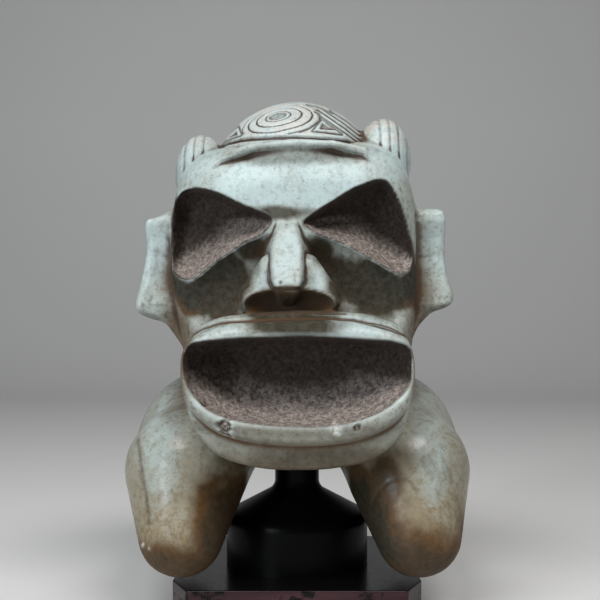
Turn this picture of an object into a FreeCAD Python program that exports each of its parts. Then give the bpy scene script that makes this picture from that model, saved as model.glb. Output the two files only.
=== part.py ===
"""A carved stone zemi figure that rests on a turned display mount.

The stone is one carving: a broad head with hollow eyes and a hollow mouth, a domed cap between
two knots of hair, slab ears, a hunched back and two heavy folded legs. It sits on a padded
saddle and a locating pin, at the top of a bell-shaped pedestal bolted down to a two-layer base.

Row frame: +Z up, the face looks along -Y, X is across. The origin is under the middle of the
whole object, on the surface that it stands on. Lengths are in millimetres, angles in degrees.
"""

import FreeCAD, Part
import math
import os
import Sketcher

Vector = FreeCAD.Vector
Rotation = FreeCAD.Rotation

SIZES = {
    # Base: felt, plinth and top board, from the floor up.
    "base_width": 184.0,
    "base_depth": 160.0,
    "base_back_shift": 8.0,
    "base_cant_width": 13.0,
    "base_cant_depth": 27.0,
    "base_corner": 2.5,
    "felt_thickness": 2.0,
    "felt_inset": 1.5,
    "plinth_height": 22.0,
    "board_thickness": 8.0,
    "board_edge_round": 1.2,
    # Pedestal, a bell turned in wood, and where its axis stands.
    "mount_axis_back": 12.0,
    "pedestal_height": 80.0,
    "pedestal_foot_radius": 56.0,
    "pedestal_body_height": 38.0,
    "pedestal_shoulder_drop": 21.0,
    "pedestal_neck_radius": 17.5,
    "pedestal_cove_radius": 9.0,
    # Tie rod, with its washer and nut in the plinth's counterbore.
    "rod_diameter": 10.0,
    "rod_hole_clearance": 0.3,
    "rod_end_gap": 1.5,
    "washer_diameter": 24.0,
    "washer_thickness": 2.0,
    "nut_across_flats": 17.0,
    "nut_height": 7.0,
    "counterbore_diameter": 28.0,
    # Screws that hold the board on the plinth.
    "screw_inset": 16.0,
    "screw_diameter": 4.0,
    "screw_head_diameter": 8.0,
    "screw_head_height": 2.4,
    "screw_point_height": 2.0,
    "screw_bite": 5.0,
    "screw_clearance": 0.2,
    # Saddle, its lining and the locating pin.
    "saddle_width": 64.0,
    "saddle_depth": 56.0,
    "saddle_corner": 14.0,
    "saddle_thickness": 4.0,
    "boss_diameter": 20.0,
    "boss_height": 14.0,
    "boss_clearance": 0.15,
    "lining_thickness": 3.0,
    "lining_inset": 1.0,
    "pin_diameter": 8.0,
    "pin_reach": 27.0,
    "pin_grip": 4.0,
    "pin_fit": 0.03,
    "socket_clearance": 0.3,
    "socket_end_gap": 2.0,
    "pin_nose": 1.5,
    # Stone figure: its reach across the legs and in depth, and its head.
    "figure_width": 262.0,
    "figure_depth": 230.0,
    "head_height": 238.0,
    "head_width": 184.0,
    "head_front": 78.0,
    "head_back": 68.0,
    "head_front_corner": 50.0,
    "head_back_corner": 50.0,
    # Cap between the knots of hair.
    "cap_radius": 60.0,
    "cap_centre_height": 214.0,
    "cap_centre_front": 10.0,
    # Knots of hair at the top corners of the head, each with flutes between its ribs.
    "knot_half_width": 20.0,
    "knot_radius": 32.0,
    "knot_rib_radius": 5.0,
    "knot_side": 71.0,
    "knot_front": 14.0,
    "knot_centre_height": 221.0,
    # Ears.
    "ear_top_height": 189.0,
    "ear_bottom_height": 88.0,
    "ear_reach": 122.0,
    "ear_root": 70.0,
    "ear_front": 36.0,
    "ear_thickness": 36.0,
    "ear_corner": 7.0,
    # Eye hollows.
    "eye_inner_side": 10.0,
    "eye_inner_height": 176.0,
    "eye_low_side": 80.0,
    "eye_low_height": 132.0,
    "eye_outer_side": 89.0,
    "eye_outer_height": 172.0,
    "eye_high_side": 66.0,
    "eye_high_height": 207.0,
    "eye_inner_corner": 3.0,
    "eye_outer_corner": 10.0,
    "eye_depth": 34.0,
    "eye_wall_slope": 8.0,
    # Hollow across the forehead, under its top ridge.
    "brow_inner_radius": 22.5,
    "brow_outer_radius": 21.0,
    "brow_inner_front": 94.5,
    "brow_outer_front": 84.0,
    "brow_outer_side": 56.0,
    "brow_inner_height": 222.0,
    "brow_outer_height": 215.5,
    # Hollows under the cheek ridges.
    "cheek_inner_radius": 38.0,
    "cheek_outer_radius": 30.0,
    "cheek_inner_side": 26.0,
    "cheek_outer_side": 80.0,
    "cheek_sink": 22.0,
    "cheek_inner_height": 135.0,
    "cheek_outer_height": 115.0,
    # Nose.
    "nose_top_height": 172.0,
    "nose_base_height": 120.0,
    "nose_ridge_width": 23.0,
    "nose_reach": 104.0,
    "wing_low_radius": 13.5,
    "wing_high_radius": 8.0,
    "wing_low_side": 24.0,
    "wing_high_side": 12.0,
    "wing_front": 79.0,
    "wing_low_height": 126.0,
    "wing_high_height": 144.0,
    "nostril_radius": 15.0,
    "nostril_side": 25.0,
    "nostril_front": 95.0,
    "nostril_height": 112.0,
    # Mouth: a jutting block with two rims and a hollow.
    "mouth_width": 164.0,
    "mouth_bottom_height": 1.0,
    "mouth_top_height": 112.0,
    "mouth_root_front": 50.0,
    "mouth_low_corner": 52.0,
    "mouth_high_corner": 33.0,
    "mouth_hollow_width": 148.0,
    "mouth_hollow_bottom_height": 34.0,
    "mouth_hollow_top_height": 97.0,
    "mouth_hollow_low_corner": 34.0,
    "mouth_hollow_high_corner": 14.0,
    "mouth_hollow_depth": 44.0,
    # Trunk: the hunched back, which tapers on each side to the hip.
    "back_radius": 62.0,
    "back_side": 15.0,
    "back_centre_height": 31.0,
    "hip_radius": 44.0,
    "hip_side": 78.0,
    "hip_back": 38.0,
    "hip_height": 16.0,
    # Folded legs: a thigh that ends in the knee, with the calf behind it.
    "thigh_radius": 46.5,
    "thigh_front": 24.0,
    "thigh_drop": 9.0,
    "knee_radius": 31.0,
    "knee_outset": 1.5,
    "knee_front": 58.0,
    "knee_drop": 50.0,
    "calf_radius": 40.0,
    "calf_inset": 3.0,
    "calf_back": 14.0,
    "calf_drop": 11.0,
    "heel_radius": 28.0,
    "heel_back": 12.0,
    "heel_drop": 38.0,
    # One overrun serves every cut.
    "cut_overrun": 20.0,
}

# Sections of the head from the seat to the crown: shares of its height, half width, front,
# back and corners.
HEAD_SHARES = (
    (0.0, 0.52, 0.80, 0.90, 1.0),
    (0.13, 0.78, 0.97, 0.97, 1.0),
    (0.34, 0.93, 0.98, 1.0, 1.0),
    (0.55, 1.0, 0.96, 1.0, 1.0),
    (0.76, 1.0, 0.97, 0.96, 1.0),
    (0.90, 0.92, 0.94, 0.84, 1.0),
    (1.0, 0.62, 0.74, 0.54, 0.8),
)

# Sections of the jaws and of the lips in front of them, from the back: shares of the reach from
# the root to the front, of the half width, of the height for the bottom and the top, and of
# the corners.
JAW_SHARES = (
    (0.0, 0.93, 0.05, 0.92, 1.0),
    (0.53, 0.985, 0.015, 0.985, 1.0),
    (0.78, 0.96, 0.06, 0.985, 0.95),
)
LIP_SHARES = (
    (0.53, 0.965, 0.13, 0.94, 0.95),
    (0.87, 0.975, 0.15, 0.95, 0.95),
    (1.0, 0.93, 0.235, 0.905, 0.80),
)

# Sections of the mouth's hollow, from before the lips in: shares of its depth, half width and
# height for the bottom and the top, and of its corners.
MOUTH_HOLLOW_SHARES = (
    (-0.2, 1.03, -0.04, 1.01, 1.0),
    (0.0, 1.0, 0.0, 1.0, 1.0),
    (0.55, 0.90, 0.12, 0.97, 0.9),
    (1.0, 0.68, 0.36, 0.88, 0.7),
)

# Sections of an ear from its top down: shares of its height, and of the reach from its root;
# then the front face's set-back and the thickness kept, as shares of its thickness.
EAR_SHARES = (
    (1.0, 0.76, 0.06, 0.92),
    (0.93, 0.82, 0.0, 1.0),
    (0.62, 0.83, 0.20, 1.0),
    (0.39, 0.95, 0.08, 1.0),
    (0.29, 0.95, 0.06, 0.97),
    (0.17, 0.60, 0.12, 0.92),
    (0.0, 0.32, 0.25, 0.85),
)

# Sections of the nose from its base up: shares of its height, width and reach.
NOSE_SHARES = (
    (0.0, 0.92, 0.97),
    (0.14, 1.05, 1.0),
    (0.5, 0.95, 0.91),
    (1.0, 0.80, 0.78),
)

# Flutes of a knot of hair, from +X to -X: shares of its half width and of its radius.
KNOT_FLUTE_SHARES = ((0.6, 0.84), (0.2, 0.93), (-0.2, 0.93), (-0.6, 0.84))

# Corner radius of the nose, as a share of its half width.
NOSE_CORNER_SHARE = 0.55

# Two places closer than this are one and the same.
SAME_PLACE = 1e-6


class Size:
    """A length worked out from the sheet's cells: its expression, and its value."""

    def __init__(self, text, value):
        self.text = text
        self.value = value

    def joined(self, sign, other, value):
        text = other.text if isinstance(other, Size) else repr(other)
        return Size(f"({self.text} {sign} {text})", value)

    def __add__(self, other):
        return self.joined("+", other, self.value + other.value)

    def __sub__(self, other):
        return self.joined("-", other, self.value - other.value)

    def __mul__(self, share):
        return self.joined("*", share, self.value * share)

    def __truediv__(self, number):
        return self.joined("/", number, self.value / number)

    def __neg__(self):
        return Size(f"(-{self.text})", -self.value)


def cell(alias):
    """The sheet's cell of that alias, as a Size."""
    return Size(f"sizes.{alias}", float(SIZES[alias]))


def make_sheet(doc):
    """Writes every driving size into a spreadsheet, each in a cell with its own alias."""
    sheet = doc.addObject("Spreadsheet::Sheet", "sizes")
    for row, (alias, value) in enumerate(SIZES.items(), start=1):
        sheet.set(f"A{row}", alias)
        sheet.set(f"B{row}", str(value))
        sheet.setAlias(f"B{row}", alias)
    doc.recompute()


def bind(thing, **sizes):
    """Binds properties of a document object to Sizes; Base_x stands for Placement.Base.x."""
    for name, size in sizes.items():
        path = name.replace("Base_", "Placement.Base.")
        thing.setExpression(path, size.text)


# Sketches

ORIGIN_POINT = (-1, 1)
SKETCH_AXES = {"DistanceX": -2, "DistanceY": -1}
FACING = {"XY": Rotation(), "XZ": Rotation(Vector(1, 0, 0), 90)}
ACROSS = {"XY": "Base_z", "XZ": "Base_y"}


def dimension(sketch, kind, elements, size):
    """Adds one dimension to a sketch and binds it to a Size."""
    index = sketch.addConstraint(Sketcher.Constraint(kind, *elements, abs(size.value)))
    text = size.text if size.value >= 0 else (-size).text
    sketch.setExpression(f"Constraints[{index}]", text)


def place_from_origin(sketch, kind, geometry, point, size):
    """Holds a point at a signed distance from the sketch's origin, along X or Y."""
    ends = (*ORIGIN_POINT, geometry, point)
    if size.value < 0:
        ends = (geometry, point, *ORIGIN_POINT)
    dimension(sketch, kind, ends, size)


def hold_point(sketch, geometry, point, x, y):
    """Holds a point at a signed place from the sketch's origin."""
    for kind, size in (("DistanceX", x), ("DistanceY", y)):
        if size.value == 0:
            axis = SKETCH_AXES[kind]
            sketch.addConstraint(Sketcher.Constraint("PointOnObject", geometry, point, axis))
        else:
            place_from_origin(sketch, kind, geometry, point, size)


def rounded_polygon(sketch, points):
    """A closed outline round corners, each given as two Sizes and its corner's radius.

    They are given counterclockwise and stay as construction points. Each side's line runs
    through two of them, and each corner's arc is tangent to its two sides.
    """
    corners = [Vector(x.value, y.value, 0) for x, y, radius in points]
    count = len(points)
    starts, ends, arcs = [], [], []
    for index, (x, y, radius) in enumerate(points):
        here = corners[index]
        before = (corners[index - 1] - here).normalize()
        after = (corners[(index + 1) % count] - here).normalize()
        half_angle = before.getAngle(after) / 2
        run = radius.value / math.tan(half_angle)
        middle = (before + after).normalize()
        centre = here + middle * (radius.value / math.sin(half_angle))
        ends.append(here + before * run)
        starts.append(here + after * run)
        arcs.append(Part.Arc(ends[-1], centre - middle * radius.value, starts[-1]))
    sides = [
        Part.LineSegment(starts[index], ends[(index + 1) % count]) for index in range(count)
    ]
    for arc, side in zip(arcs, sides):
        sketch.addGeometry([arc, side], False)
    marks = sketch.addGeometry([Part.Point(corner) for corner in corners], True)
    for index, (x, y, radius) in enumerate(points):
        arc, side, last_side = 2 * index, 2 * index + 1, (2 * index - 1) % (2 * count)
        sketch.addConstraint([
            Sketcher.Constraint("Tangent", last_side, 2, arc, 1),
            Sketcher.Constraint("Tangent", arc, 2, side, 1),
            Sketcher.Constraint("PointOnObject", marks[index], 1, side),
            Sketcher.Constraint("PointOnObject", marks[index], 1, last_side),
        ])
        dimension(sketch, "Radius", (arc,), radius)
        hold_point(sketch, marks[index], 1, x, y)


def rounded_rectangle(sketch, left, right, low, high, low_corner, high_corner):
    """A rectangle with rounded corners, one radius for the low pair and one for the high."""
    rounded_polygon(sketch, [
        (left, low, low_corner), (right, low, low_corner),
        (right, high, high_corner), (left, high, high_corner),
    ])


def loose_sketch(doc, name, plane, at):
    """A sketch that stands by itself, parallel to a plane of the row frame."""
    sketch = doc.addObject("Sketcher::SketchObject", name)
    sketch.Placement = FreeCAD.Placement(Vector(), FACING[plane])
    bind(sketch, **{ACROSS[plane]: at})
    return sketch


def section(doc, name, plane, at, left, right, low, high, low_corner, high_corner):
    sketch = loose_sketch(doc, name, plane, at)
    rounded_rectangle(sketch, left, right, low, high, low_corner, high_corner)
    return sketch


# Solids

def loft(doc, name, sections):
    solid = doc.addObject("Part::Loft", name)
    solid.Sections = sections
    solid.MaxDegree = 3
    solid.Solid = True
    return solid


def fused(doc, name, shapes):
    solid = doc.addObject("Part::MultiFuse", name)
    solid.Shapes = shapes
    return solid


def cut(doc, name, base, tool):
    solid = doc.addObject("Part::Cut", name)
    solid.Base = base
    solid.Tool = tool
    return solid


def mirrored(doc, source):
    """The same solid on the other side of the plane of symmetry."""
    solid = doc.addObject("Part::Mirroring", source.Name + "_mirrored")
    solid.Source = source
    solid.Normal = (1, 0, 0)
    return solid


def egg(doc, name, big, small, big_at, small_at):
    """A big ball and a small one in one tangent skin, turned about the line of their centres."""
    start = Vector(*(size.value for size in big_at))
    reach = Vector(*(size.value for size in small_at)) - start
    span = reach.Length
    tilt = math.asin((big.value - small.value) / span)
    side = Vector(math.cos(tilt), -math.sin(tilt), 0)
    foot = Vector(0, -span, 0)
    quarter = math.pi / 2
    up = Vector(0, 0, 1)
    sketch = doc.addObject("Sketcher::SketchObject", name + "_profile")
    sketch.addGeometry([
        Part.ArcOfCircle(Part.Circle(Vector(), up, big.value), -tilt, quarter),
        Part.LineSegment(foot + side * small.value, side * big.value),
        Part.ArcOfCircle(Part.Circle(foot, up, small.value), -quarter, -tilt),
        Part.LineSegment(Vector(0, big.value, 0), foot - Vector(0, small.value, 0)),
    ], False)
    crown, flank, tail, axis = range(4)
    upright = SKETCH_AXES["DistanceX"]
    sketch.addConstraint([
        Sketcher.Constraint("Coincident", crown, 3, *ORIGIN_POINT),
        Sketcher.Constraint("PointOnObject", tail, 3, upright),
        Sketcher.Constraint("Tangent", tail, 2, flank, 1),
        Sketcher.Constraint("Tangent", flank, 2, crown, 1),
        Sketcher.Constraint("Coincident", crown, 2, axis, 1),
        Sketcher.Constraint("Coincident", axis, 2, tail, 1),
        Sketcher.Constraint("PointOnObject", axis, 1, upright),
        Sketcher.Constraint("PointOnObject", axis, 2, upright),
    ])
    dimension(sketch, "Radius", (crown,), big)
    dimension(sketch, "Radius", (tail,), small)
    sketch.addConstraint(Sketcher.Constraint("DistanceY", tail, 3, *ORIGIN_POINT, span))
    solid = doc.addObject("Part::Revolution", name)
    solid.Source = sketch
    solid.Axis = (0, 1, 0)
    solid.Angle = 360
    solid.Solid = True
    solid.Placement = FreeCAD.Placement(start, Rotation(Vector(0, -1, 0), reach))
    return solid


def part_body(doc, name):
    return doc.addObject("PartDesign::Body", name)


def base_plane(body, role):
    for feature in body.Origin.OriginFeatures:
        if feature.Role == role:
            return feature
    raise ValueError(f"{body.Name} has no {role}")


def body_sketch(body, name, role, height=None):
    """A sketch on one of a body's own planes, moved off it by a height."""
    sketch = body.newObject("Sketcher::SketchObject", name)
    sketch.AttachmentSupport = (base_plane(body, role), [""])
    sketch.MapMode = "FlatFace"
    if height is not None:
        sketch.setExpression("AttachmentOffset.Base.z", height.text)
    return sketch


def pad(body, sketch, length):
    feature = body.newObject("PartDesign::Pad", sketch.Name + "_pad")
    feature.Profile = sketch
    bind(feature, Length=length)
    return feature


def pocket(body, sketch, length, upward):
    feature = body.newObject("PartDesign::Pocket", sketch.Name + "_pocket")
    feature.Profile = sketch
    feature.Reversed = upward
    bind(feature, Length=length)
    return feature


def circle_in(sketch, x, y, radius):
    """Adds a circle held at a signed place from the sketch's origin."""
    centre = Vector(x.value, y.value, 0)
    index = sketch.addGeometry(Part.Circle(centre, Vector(0, 0, 1), radius.value), False)
    dimension(sketch, "Radius", (index,), radius)
    hold_point(sketch, index, 3, x, y)


ZERO = Size("0", 0.0)


# Heights of the stack, from the floor up

def stack_heights():
    """The level of each joint face of the mount, worked out from the pieces' thicknesses."""
    plinth_bottom = cell("felt_thickness")
    board_bottom = plinth_bottom + cell("plinth_height")
    pedestal_bottom = board_bottom + cell("board_thickness")
    saddle_bottom = pedestal_bottom + cell("pedestal_height")
    lining_bottom = saddle_bottom + cell("saddle_thickness")
    seat = lining_bottom + cell("lining_thickness")
    return plinth_bottom, board_bottom, pedestal_bottom, saddle_bottom, lining_bottom, seat


# Base

def base_slab(doc, name, bottom, thickness, inset, corner):
    """One flat layer of the base: a rectangle with canted corners, padded up from below."""
    body = part_body(doc, name)
    sketch = body_sketch(body, name + "_outline", "XY_Plane", bottom)
    half_width = cell("base_width") / 2 - inset
    half_depth = cell("base_depth") / 2 - inset
    middle = cell("base_back_shift")
    short_width = half_width - cell("base_cant_width")
    short_depth = half_depth - cell("base_cant_depth")
    rounded_polygon(sketch, [
        (-short_width, middle - half_depth, corner), (short_width, middle - half_depth, corner),
        (half_width, middle - short_depth, corner), (half_width, middle + short_depth, corner),
        (short_width, middle + half_depth, corner), (-short_width, middle + half_depth, corner),
        (-half_width, middle + short_depth, corner), (-half_width, middle - short_depth, corner),
    ])
    pad(body, sketch, thickness)
    return body


def screw_places():
    """Where the board's screws stand, as pairs of Sizes across and along the base."""
    across = cell("base_width") / 2 - cell("screw_inset")
    along = cell("base_depth") / 2 - cell("screw_inset")
    middle = cell("base_back_shift")
    return [(side, middle + end) for side in (-across, across) for end in (-along, along)]


def drilled(body, name, places, radius, bottom, length):
    """Round pockets sunk upward from a level."""
    sketch = body_sketch(body, name, "XY_Plane", bottom)
    for x, y in places:
        circle_in(sketch, x, y, radius)
    pocket(body, sketch, length, True)


def make_base(doc, plinth_bottom, board_bottom):
    mount_axis = [(ZERO, cell("mount_axis_back"))]
    rod_hole = cell("rod_diameter") / 2 + cell("rod_hole_clearance")
    felt = base_slab(
        doc, "base_felt", ZERO, cell("felt_thickness"), cell("felt_inset"), cell("base_corner")
    )
    plinth = base_slab(
        doc, "plinth", plinth_bottom, cell("plinth_height"), ZERO, cell("base_corner")
    )
    washer_level = cell("nut_height") + cell("washer_thickness") + cell("rod_end_gap")
    drilled(plinth, "nut_recess", mount_axis, cell("counterbore_diameter") / 2, plinth_bottom,
            washer_level)
    drilled(plinth, "plinth_rod_hole", mount_axis, rod_hole, plinth_bottom + washer_level,
            cell("plinth_height") - washer_level)
    screw_hole = cell("screw_diameter") / 2 + cell("screw_clearance")
    drilled(plinth, "plinth_screw_holes", screw_places(), screw_hole, plinth_bottom,
            cell("plinth_height"))
    head_hole = cell("screw_head_diameter") / 2 + cell("screw_clearance")
    drilled(plinth, "plinth_screw_heads", screw_places(), head_hole, plinth_bottom,
            cell("screw_head_height"))
    board = base_slab(
        doc, "top_board", board_bottom, cell("board_thickness"), ZERO, cell("base_corner")
    )
    drilled(board, "board_rod_hole", mount_axis, rod_hole, board_bottom, cell("board_thickness"))
    drilled(board, "board_screw_holes", screw_places(), screw_hole, board_bottom,
            cell("screw_bite") + cell("screw_clearance"))
    doc.recompute()
    board_rim = round_top_edges(board, board_bottom + cell("board_thickness"))
    return [felt, plinth, board_rim]


def round_top_edges(body, top):
    """Rounds the outer edges of a slab's top face."""
    slab = body.Tip
    reach = cell("rod_diameter").value
    names = []
    for index, edge in enumerate(slab.Shape.Edges, start=1):
        box = edge.BoundBox
        level = max(abs(box.ZMin - top.value), abs(box.ZMax - top.value)) < SAME_PLACE
        hole = box.DiagonalLength < 2 * reach and abs(box.Center.x) < reach
        if level and not hole:
            names.append(f"Edge{index}")
    feature = body.newObject("PartDesign::Fillet", body.Name + "_rim")
    feature.Base = (slab, names)
    bind(feature, Radius=cell("board_edge_round"))
    return body


# Screws, washer, nut and rod

def turned_body(doc, name, outline, x, y, bottom):
    """A round piece: a closed outline of radius and height Sizes, turned about an upright axis."""
    body = part_body(doc, name)
    sketch = body_sketch(body, name + "_profile", "XZ_Plane")
    polyline(sketch, outline)
    turn = body.newObject("PartDesign::Revolution", name + "_turned")
    turn.Profile = sketch
    turn.ReferenceAxis = (sketch, ["V_Axis"])
    turn.Angle = 360
    bind(body, Base_x=x, Base_y=y, Base_z=bottom)
    return body


def polyline(sketch, points):
    """A closed outline of straight lines through points given as pairs of Sizes."""
    corners = [Vector(x.value, y.value, 0) for x, y in points]
    lines = [Part.LineSegment(a, b) for a, b in zip(corners, corners[1:] + corners[:1])]
    first = sketch.addGeometry(lines, False)[0]
    count = len(points)
    for index in range(count):
        after = first + (index + 1) % count
        sketch.addConstraint(Sketcher.Constraint("Coincident", first + index, 2, after, 1))
    for index, (x, y) in enumerate(points):
        hold_point(sketch, first + index, 1, x, y)


def make_screws(doc, plinth_bottom):
    """Four wood screws, driven up through the plinth into the board."""
    radius = cell("screw_diameter") / 2
    head = cell("screw_head_diameter") / 2
    head_top = cell("screw_head_height")
    length = cell("plinth_height") + cell("screw_bite")
    shoulder = length - cell("screw_point_height")
    outline = [
        (ZERO, ZERO), (head, ZERO), (radius, head_top), (radius, shoulder), (ZERO, length),
    ]
    screws = [
        turned_body(doc, f"screw_{number}", outline, x, y, plinth_bottom)
        for number, (x, y) in enumerate(screw_places(), start=1)
    ]
    group = doc.addObject("Part::Compound", "board_screws")
    group.Links = screws
    return group


def make_tie(doc, plinth_bottom, saddle_bottom):
    """The rod that pulls the saddle down on the pedestal, with its washer and nut."""
    y = cell("mount_axis_back")
    rod_radius = cell("rod_diameter") / 2
    hole = rod_radius + cell("rod_hole_clearance")
    nut_bottom = plinth_bottom + cell("rod_end_gap")
    washer_bottom = nut_bottom + cell("nut_height")
    rod_top = saddle_bottom - nut_bottom
    rod = turned_body(
        doc, "tie_rod", [(ZERO, ZERO), (rod_radius, ZERO), (rod_radius, rod_top), (ZERO, rod_top)],
        ZERO, y, nut_bottom,
    )
    outer = cell("washer_diameter") / 2
    thickness = cell("washer_thickness")
    washer = turned_body(
        doc, "tie_washer",
        [(hole, ZERO), (outer, ZERO), (outer, thickness), (hole, thickness)],
        ZERO, y, washer_bottom,
    )
    nut_blank = doc.addObject("Part::Prism", "nut_blank")
    nut_blank.Polygon = 6
    corner_share = 1 / (2 * math.cos(math.pi / nut_blank.Polygon))
    bind(nut_blank, Circumradius=cell("nut_across_flats") * corner_share,
         Height=cell("nut_height"), Base_y=y, Base_z=nut_bottom)
    nut_bore = doc.addObject("Part::Cylinder", "nut_bore")
    bind(nut_bore, Radius=rod_radius + cell("pin_fit"), Height=cell("nut_height"),
         Base_y=y, Base_z=nut_bottom)
    nut = cut(doc, "tie_nut", nut_blank, nut_bore)
    return [rod, washer, nut]


# Pedestal

def make_pedestal(doc, bottom):
    """A turned bell: an upright body, a sloping shoulder and a narrow neck, bored for the rod."""
    body = part_body(doc, "pedestal")
    sketch = body_sketch(body, "pedestal_profile", "XZ_Plane")
    bore = cell("rod_diameter") / 2 + cell("rod_hole_clearance")
    boss = cell("boss_diameter") / 2 + cell("boss_clearance")
    foot = cell("pedestal_foot_radius")
    neck = cell("pedestal_neck_radius")
    height = cell("pedestal_height")
    edge = cell("pedestal_body_height")
    shoulder = edge + cell("pedestal_shoulder_drop")
    boss_bottom = height - cell("boss_height")
    polyline(sketch, [
        (bore, ZERO), (foot, ZERO), (foot, edge), (neck, shoulder), (neck, height),
        (boss, height), (boss, boss_bottom), (bore, boss_bottom),
    ])
    turn = body.newObject("PartDesign::Revolution", "pedestal_turned")
    turn.Profile = sketch
    turn.ReferenceAxis = (sketch, ["V_Axis"])
    turn.Angle = 360
    doc.recompute()
    rounds = body.newObject("PartDesign::Fillet", "pedestal_cove")
    rounds.Base = (turn, rim_names(turn.Shape, (foot, edge), (neck, shoulder)))
    bind(rounds, Radius=cell("pedestal_cove_radius"))
    bind(body, Base_y=cell("mount_axis_back"), Base_z=bottom)
    return body


def rim_names(shape, *rims):
    """Names of a turned shape's round edges that lie at these radii and heights."""
    names = []
    for index, edge in enumerate(shape.Edges, start=1):
        if not isinstance(edge.Curve, Part.Circle):
            continue
        for radius, height in rims:
            same_radius = abs(edge.Curve.Radius - radius.value) < SAME_PLACE
            if same_radius and abs(edge.Curve.Center.z - height.value) < SAME_PLACE:
                names.append(f"Edge{index}")
    return names


# Saddle, lining and pin

def make_saddle(doc, saddle_bottom, lining_bottom):
    y = cell("mount_axis_back")
    half_width = cell("saddle_width") / 2
    half_depth = cell("saddle_depth") / 2
    corner = cell("saddle_corner")
    saddle = part_body(doc, "saddle")
    plate = body_sketch(saddle, "saddle_outline", "XY_Plane", saddle_bottom)
    rounded_rectangle(plate, -half_width, half_width, y - half_depth, y + half_depth,
                      corner, corner)
    pad(saddle, plate, cell("saddle_thickness"))
    boss = body_sketch(saddle, "saddle_boss", "XY_Plane", saddle_bottom - cell("boss_height"))
    circle_in(boss, ZERO, y, cell("boss_diameter") / 2)
    pad(saddle, boss, cell("boss_height"))
    fit = cell("pin_fit")
    drilled(saddle, "saddle_thread", [(ZERO, y)], cell("rod_diameter") / 2 + fit,
            saddle_bottom - cell("boss_height"), cell("boss_height"))
    drilled(saddle, "saddle_pin_hole", [(ZERO, y)], cell("pin_diameter") / 2 + fit,
            saddle_bottom, cell("saddle_thickness"))

    inset = cell("lining_inset")
    lining = part_body(doc, "saddle_lining")
    cork = body_sketch(lining, "lining_outline", "XY_Plane", lining_bottom)
    rounded_rectangle(cork, inset - half_width, half_width - inset,
                      y - half_depth + inset, y + half_depth - inset,
                      corner - inset, corner - inset)
    circle_in(cork, ZERO, y, cell("pin_diameter") / 2 + cell("socket_clearance"))
    pad(lining, cork, cell("lining_thickness"))

    radius = cell("pin_diameter") / 2
    nose = cell("pin_nose")
    length = cell("pin_grip") + cell("lining_thickness") + cell("pin_reach")
    pin = turned_body(doc, "locating_pin", [
        (ZERO, ZERO), (radius, ZERO), (radius, length - nose), (radius - nose, length),
        (ZERO, length),
    ], ZERO, y, lining_bottom - cell("pin_grip"))
    return [saddle, lining, pin]


# Stone figure, in its own frame: its seat is at height 0

def make_head(doc):
    half_width = cell("head_width") / 2
    sections = []
    for number, (up, wide, front, back, corner) in enumerate(HEAD_SHARES):
        side = half_width * wide
        sections.append(section(
            doc, f"head_section_{number}", "XY", cell("head_height") * up, -side, side,
            -cell("head_front") * front, cell("head_back") * back,
            cell("head_front_corner") * (corner * wide),
            cell("head_back_corner") * (corner * wide),
        ))
    return loft(doc, "head", sections)


def domed_arc(start, end, pole):
    """The arc between a pole on the axis and a rim point, with its centre on the axis."""
    rim = end if pole is start else start
    run = rim.x - pole.x
    centre = Vector(pole.x + (run ** 2 + rim.y ** 2) / (2 * run), 0, 0)
    reach = (pole - centre).Length
    return Part.Arc(start, centre + ((start + end) / 2 - centre).normalize() * reach, end)


def bulged_arc(start, end, radius):
    """The arc of a radius from start to end that bulges away from the axis."""
    half = (end - start) / 2
    outward = Vector(half.y, -half.x, 0).normalize()
    centre = start + half - outward * math.sqrt(radius ** 2 - half.Length ** 2)
    return Part.Arc(start, centre + outward * radius, end)


def make_hair_knot(doc):
    """A round knot turned about an axis across the head, with ribs between its flutes."""
    half_width = cell("knot_half_width")
    rib = cell("knot_rib_radius")
    flutes = [
        (half_width * across, cell("knot_radius") * out) for across, out in KNOT_FLUTE_SHARES
    ]
    points = [(half_width, ZERO), *flutes, (-half_width, ZERO)]
    places = [Vector(x.value, y.value, 0) for x, y in points]
    first, last, axis = 0, len(flutes), len(flutes) + 1
    arcs = [bulged_arc(a, b, rib.value) for a, b in zip(places[1:-2], places[2:-1])]
    sketch = doc.addObject("Sketcher::SketchObject", "hair_knot_profile")
    sketch.addGeometry([
        domed_arc(places[0], places[1], places[0]), *arcs,
        domed_arc(places[-2], places[-1], places[-1]), Part.LineSegment(places[-1], places[0]),
    ], False)
    for index in range(axis + 1):
        after = (index + 1) % (axis + 1)
        sketch.addConstraint(Sketcher.Constraint("Coincident", index, 2, after, 1))
    for index, (x, y) in enumerate(points):
        hold_point(sketch, index, 1, x, y)
    for index in range(first + 1, last):
        dimension(sketch, "Radius", (index,), rib)
    for index in (first, last):
        across = SKETCH_AXES["DistanceY"]
        sketch.addConstraint(Sketcher.Constraint("PointOnObject", index, 3, across))
    knot = doc.addObject("Part::Revolution", "hair_knot")
    knot.Source = sketch
    knot.Axis = (1, 0, 0)
    knot.Angle = 360
    knot.Solid = True
    bind(knot, Base_x=cell("knot_side"), Base_y=-cell("knot_front"),
         Base_z=cell("knot_centre_height"))
    return knot


def make_cap(doc):
    cap = doc.addObject("Part::Sphere", "cap")
    bind(cap, Radius=cell("cap_radius"), Base_y=-cell("cap_centre_front"),
         Base_z=cell("cap_centre_height"))
    return cap


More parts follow.
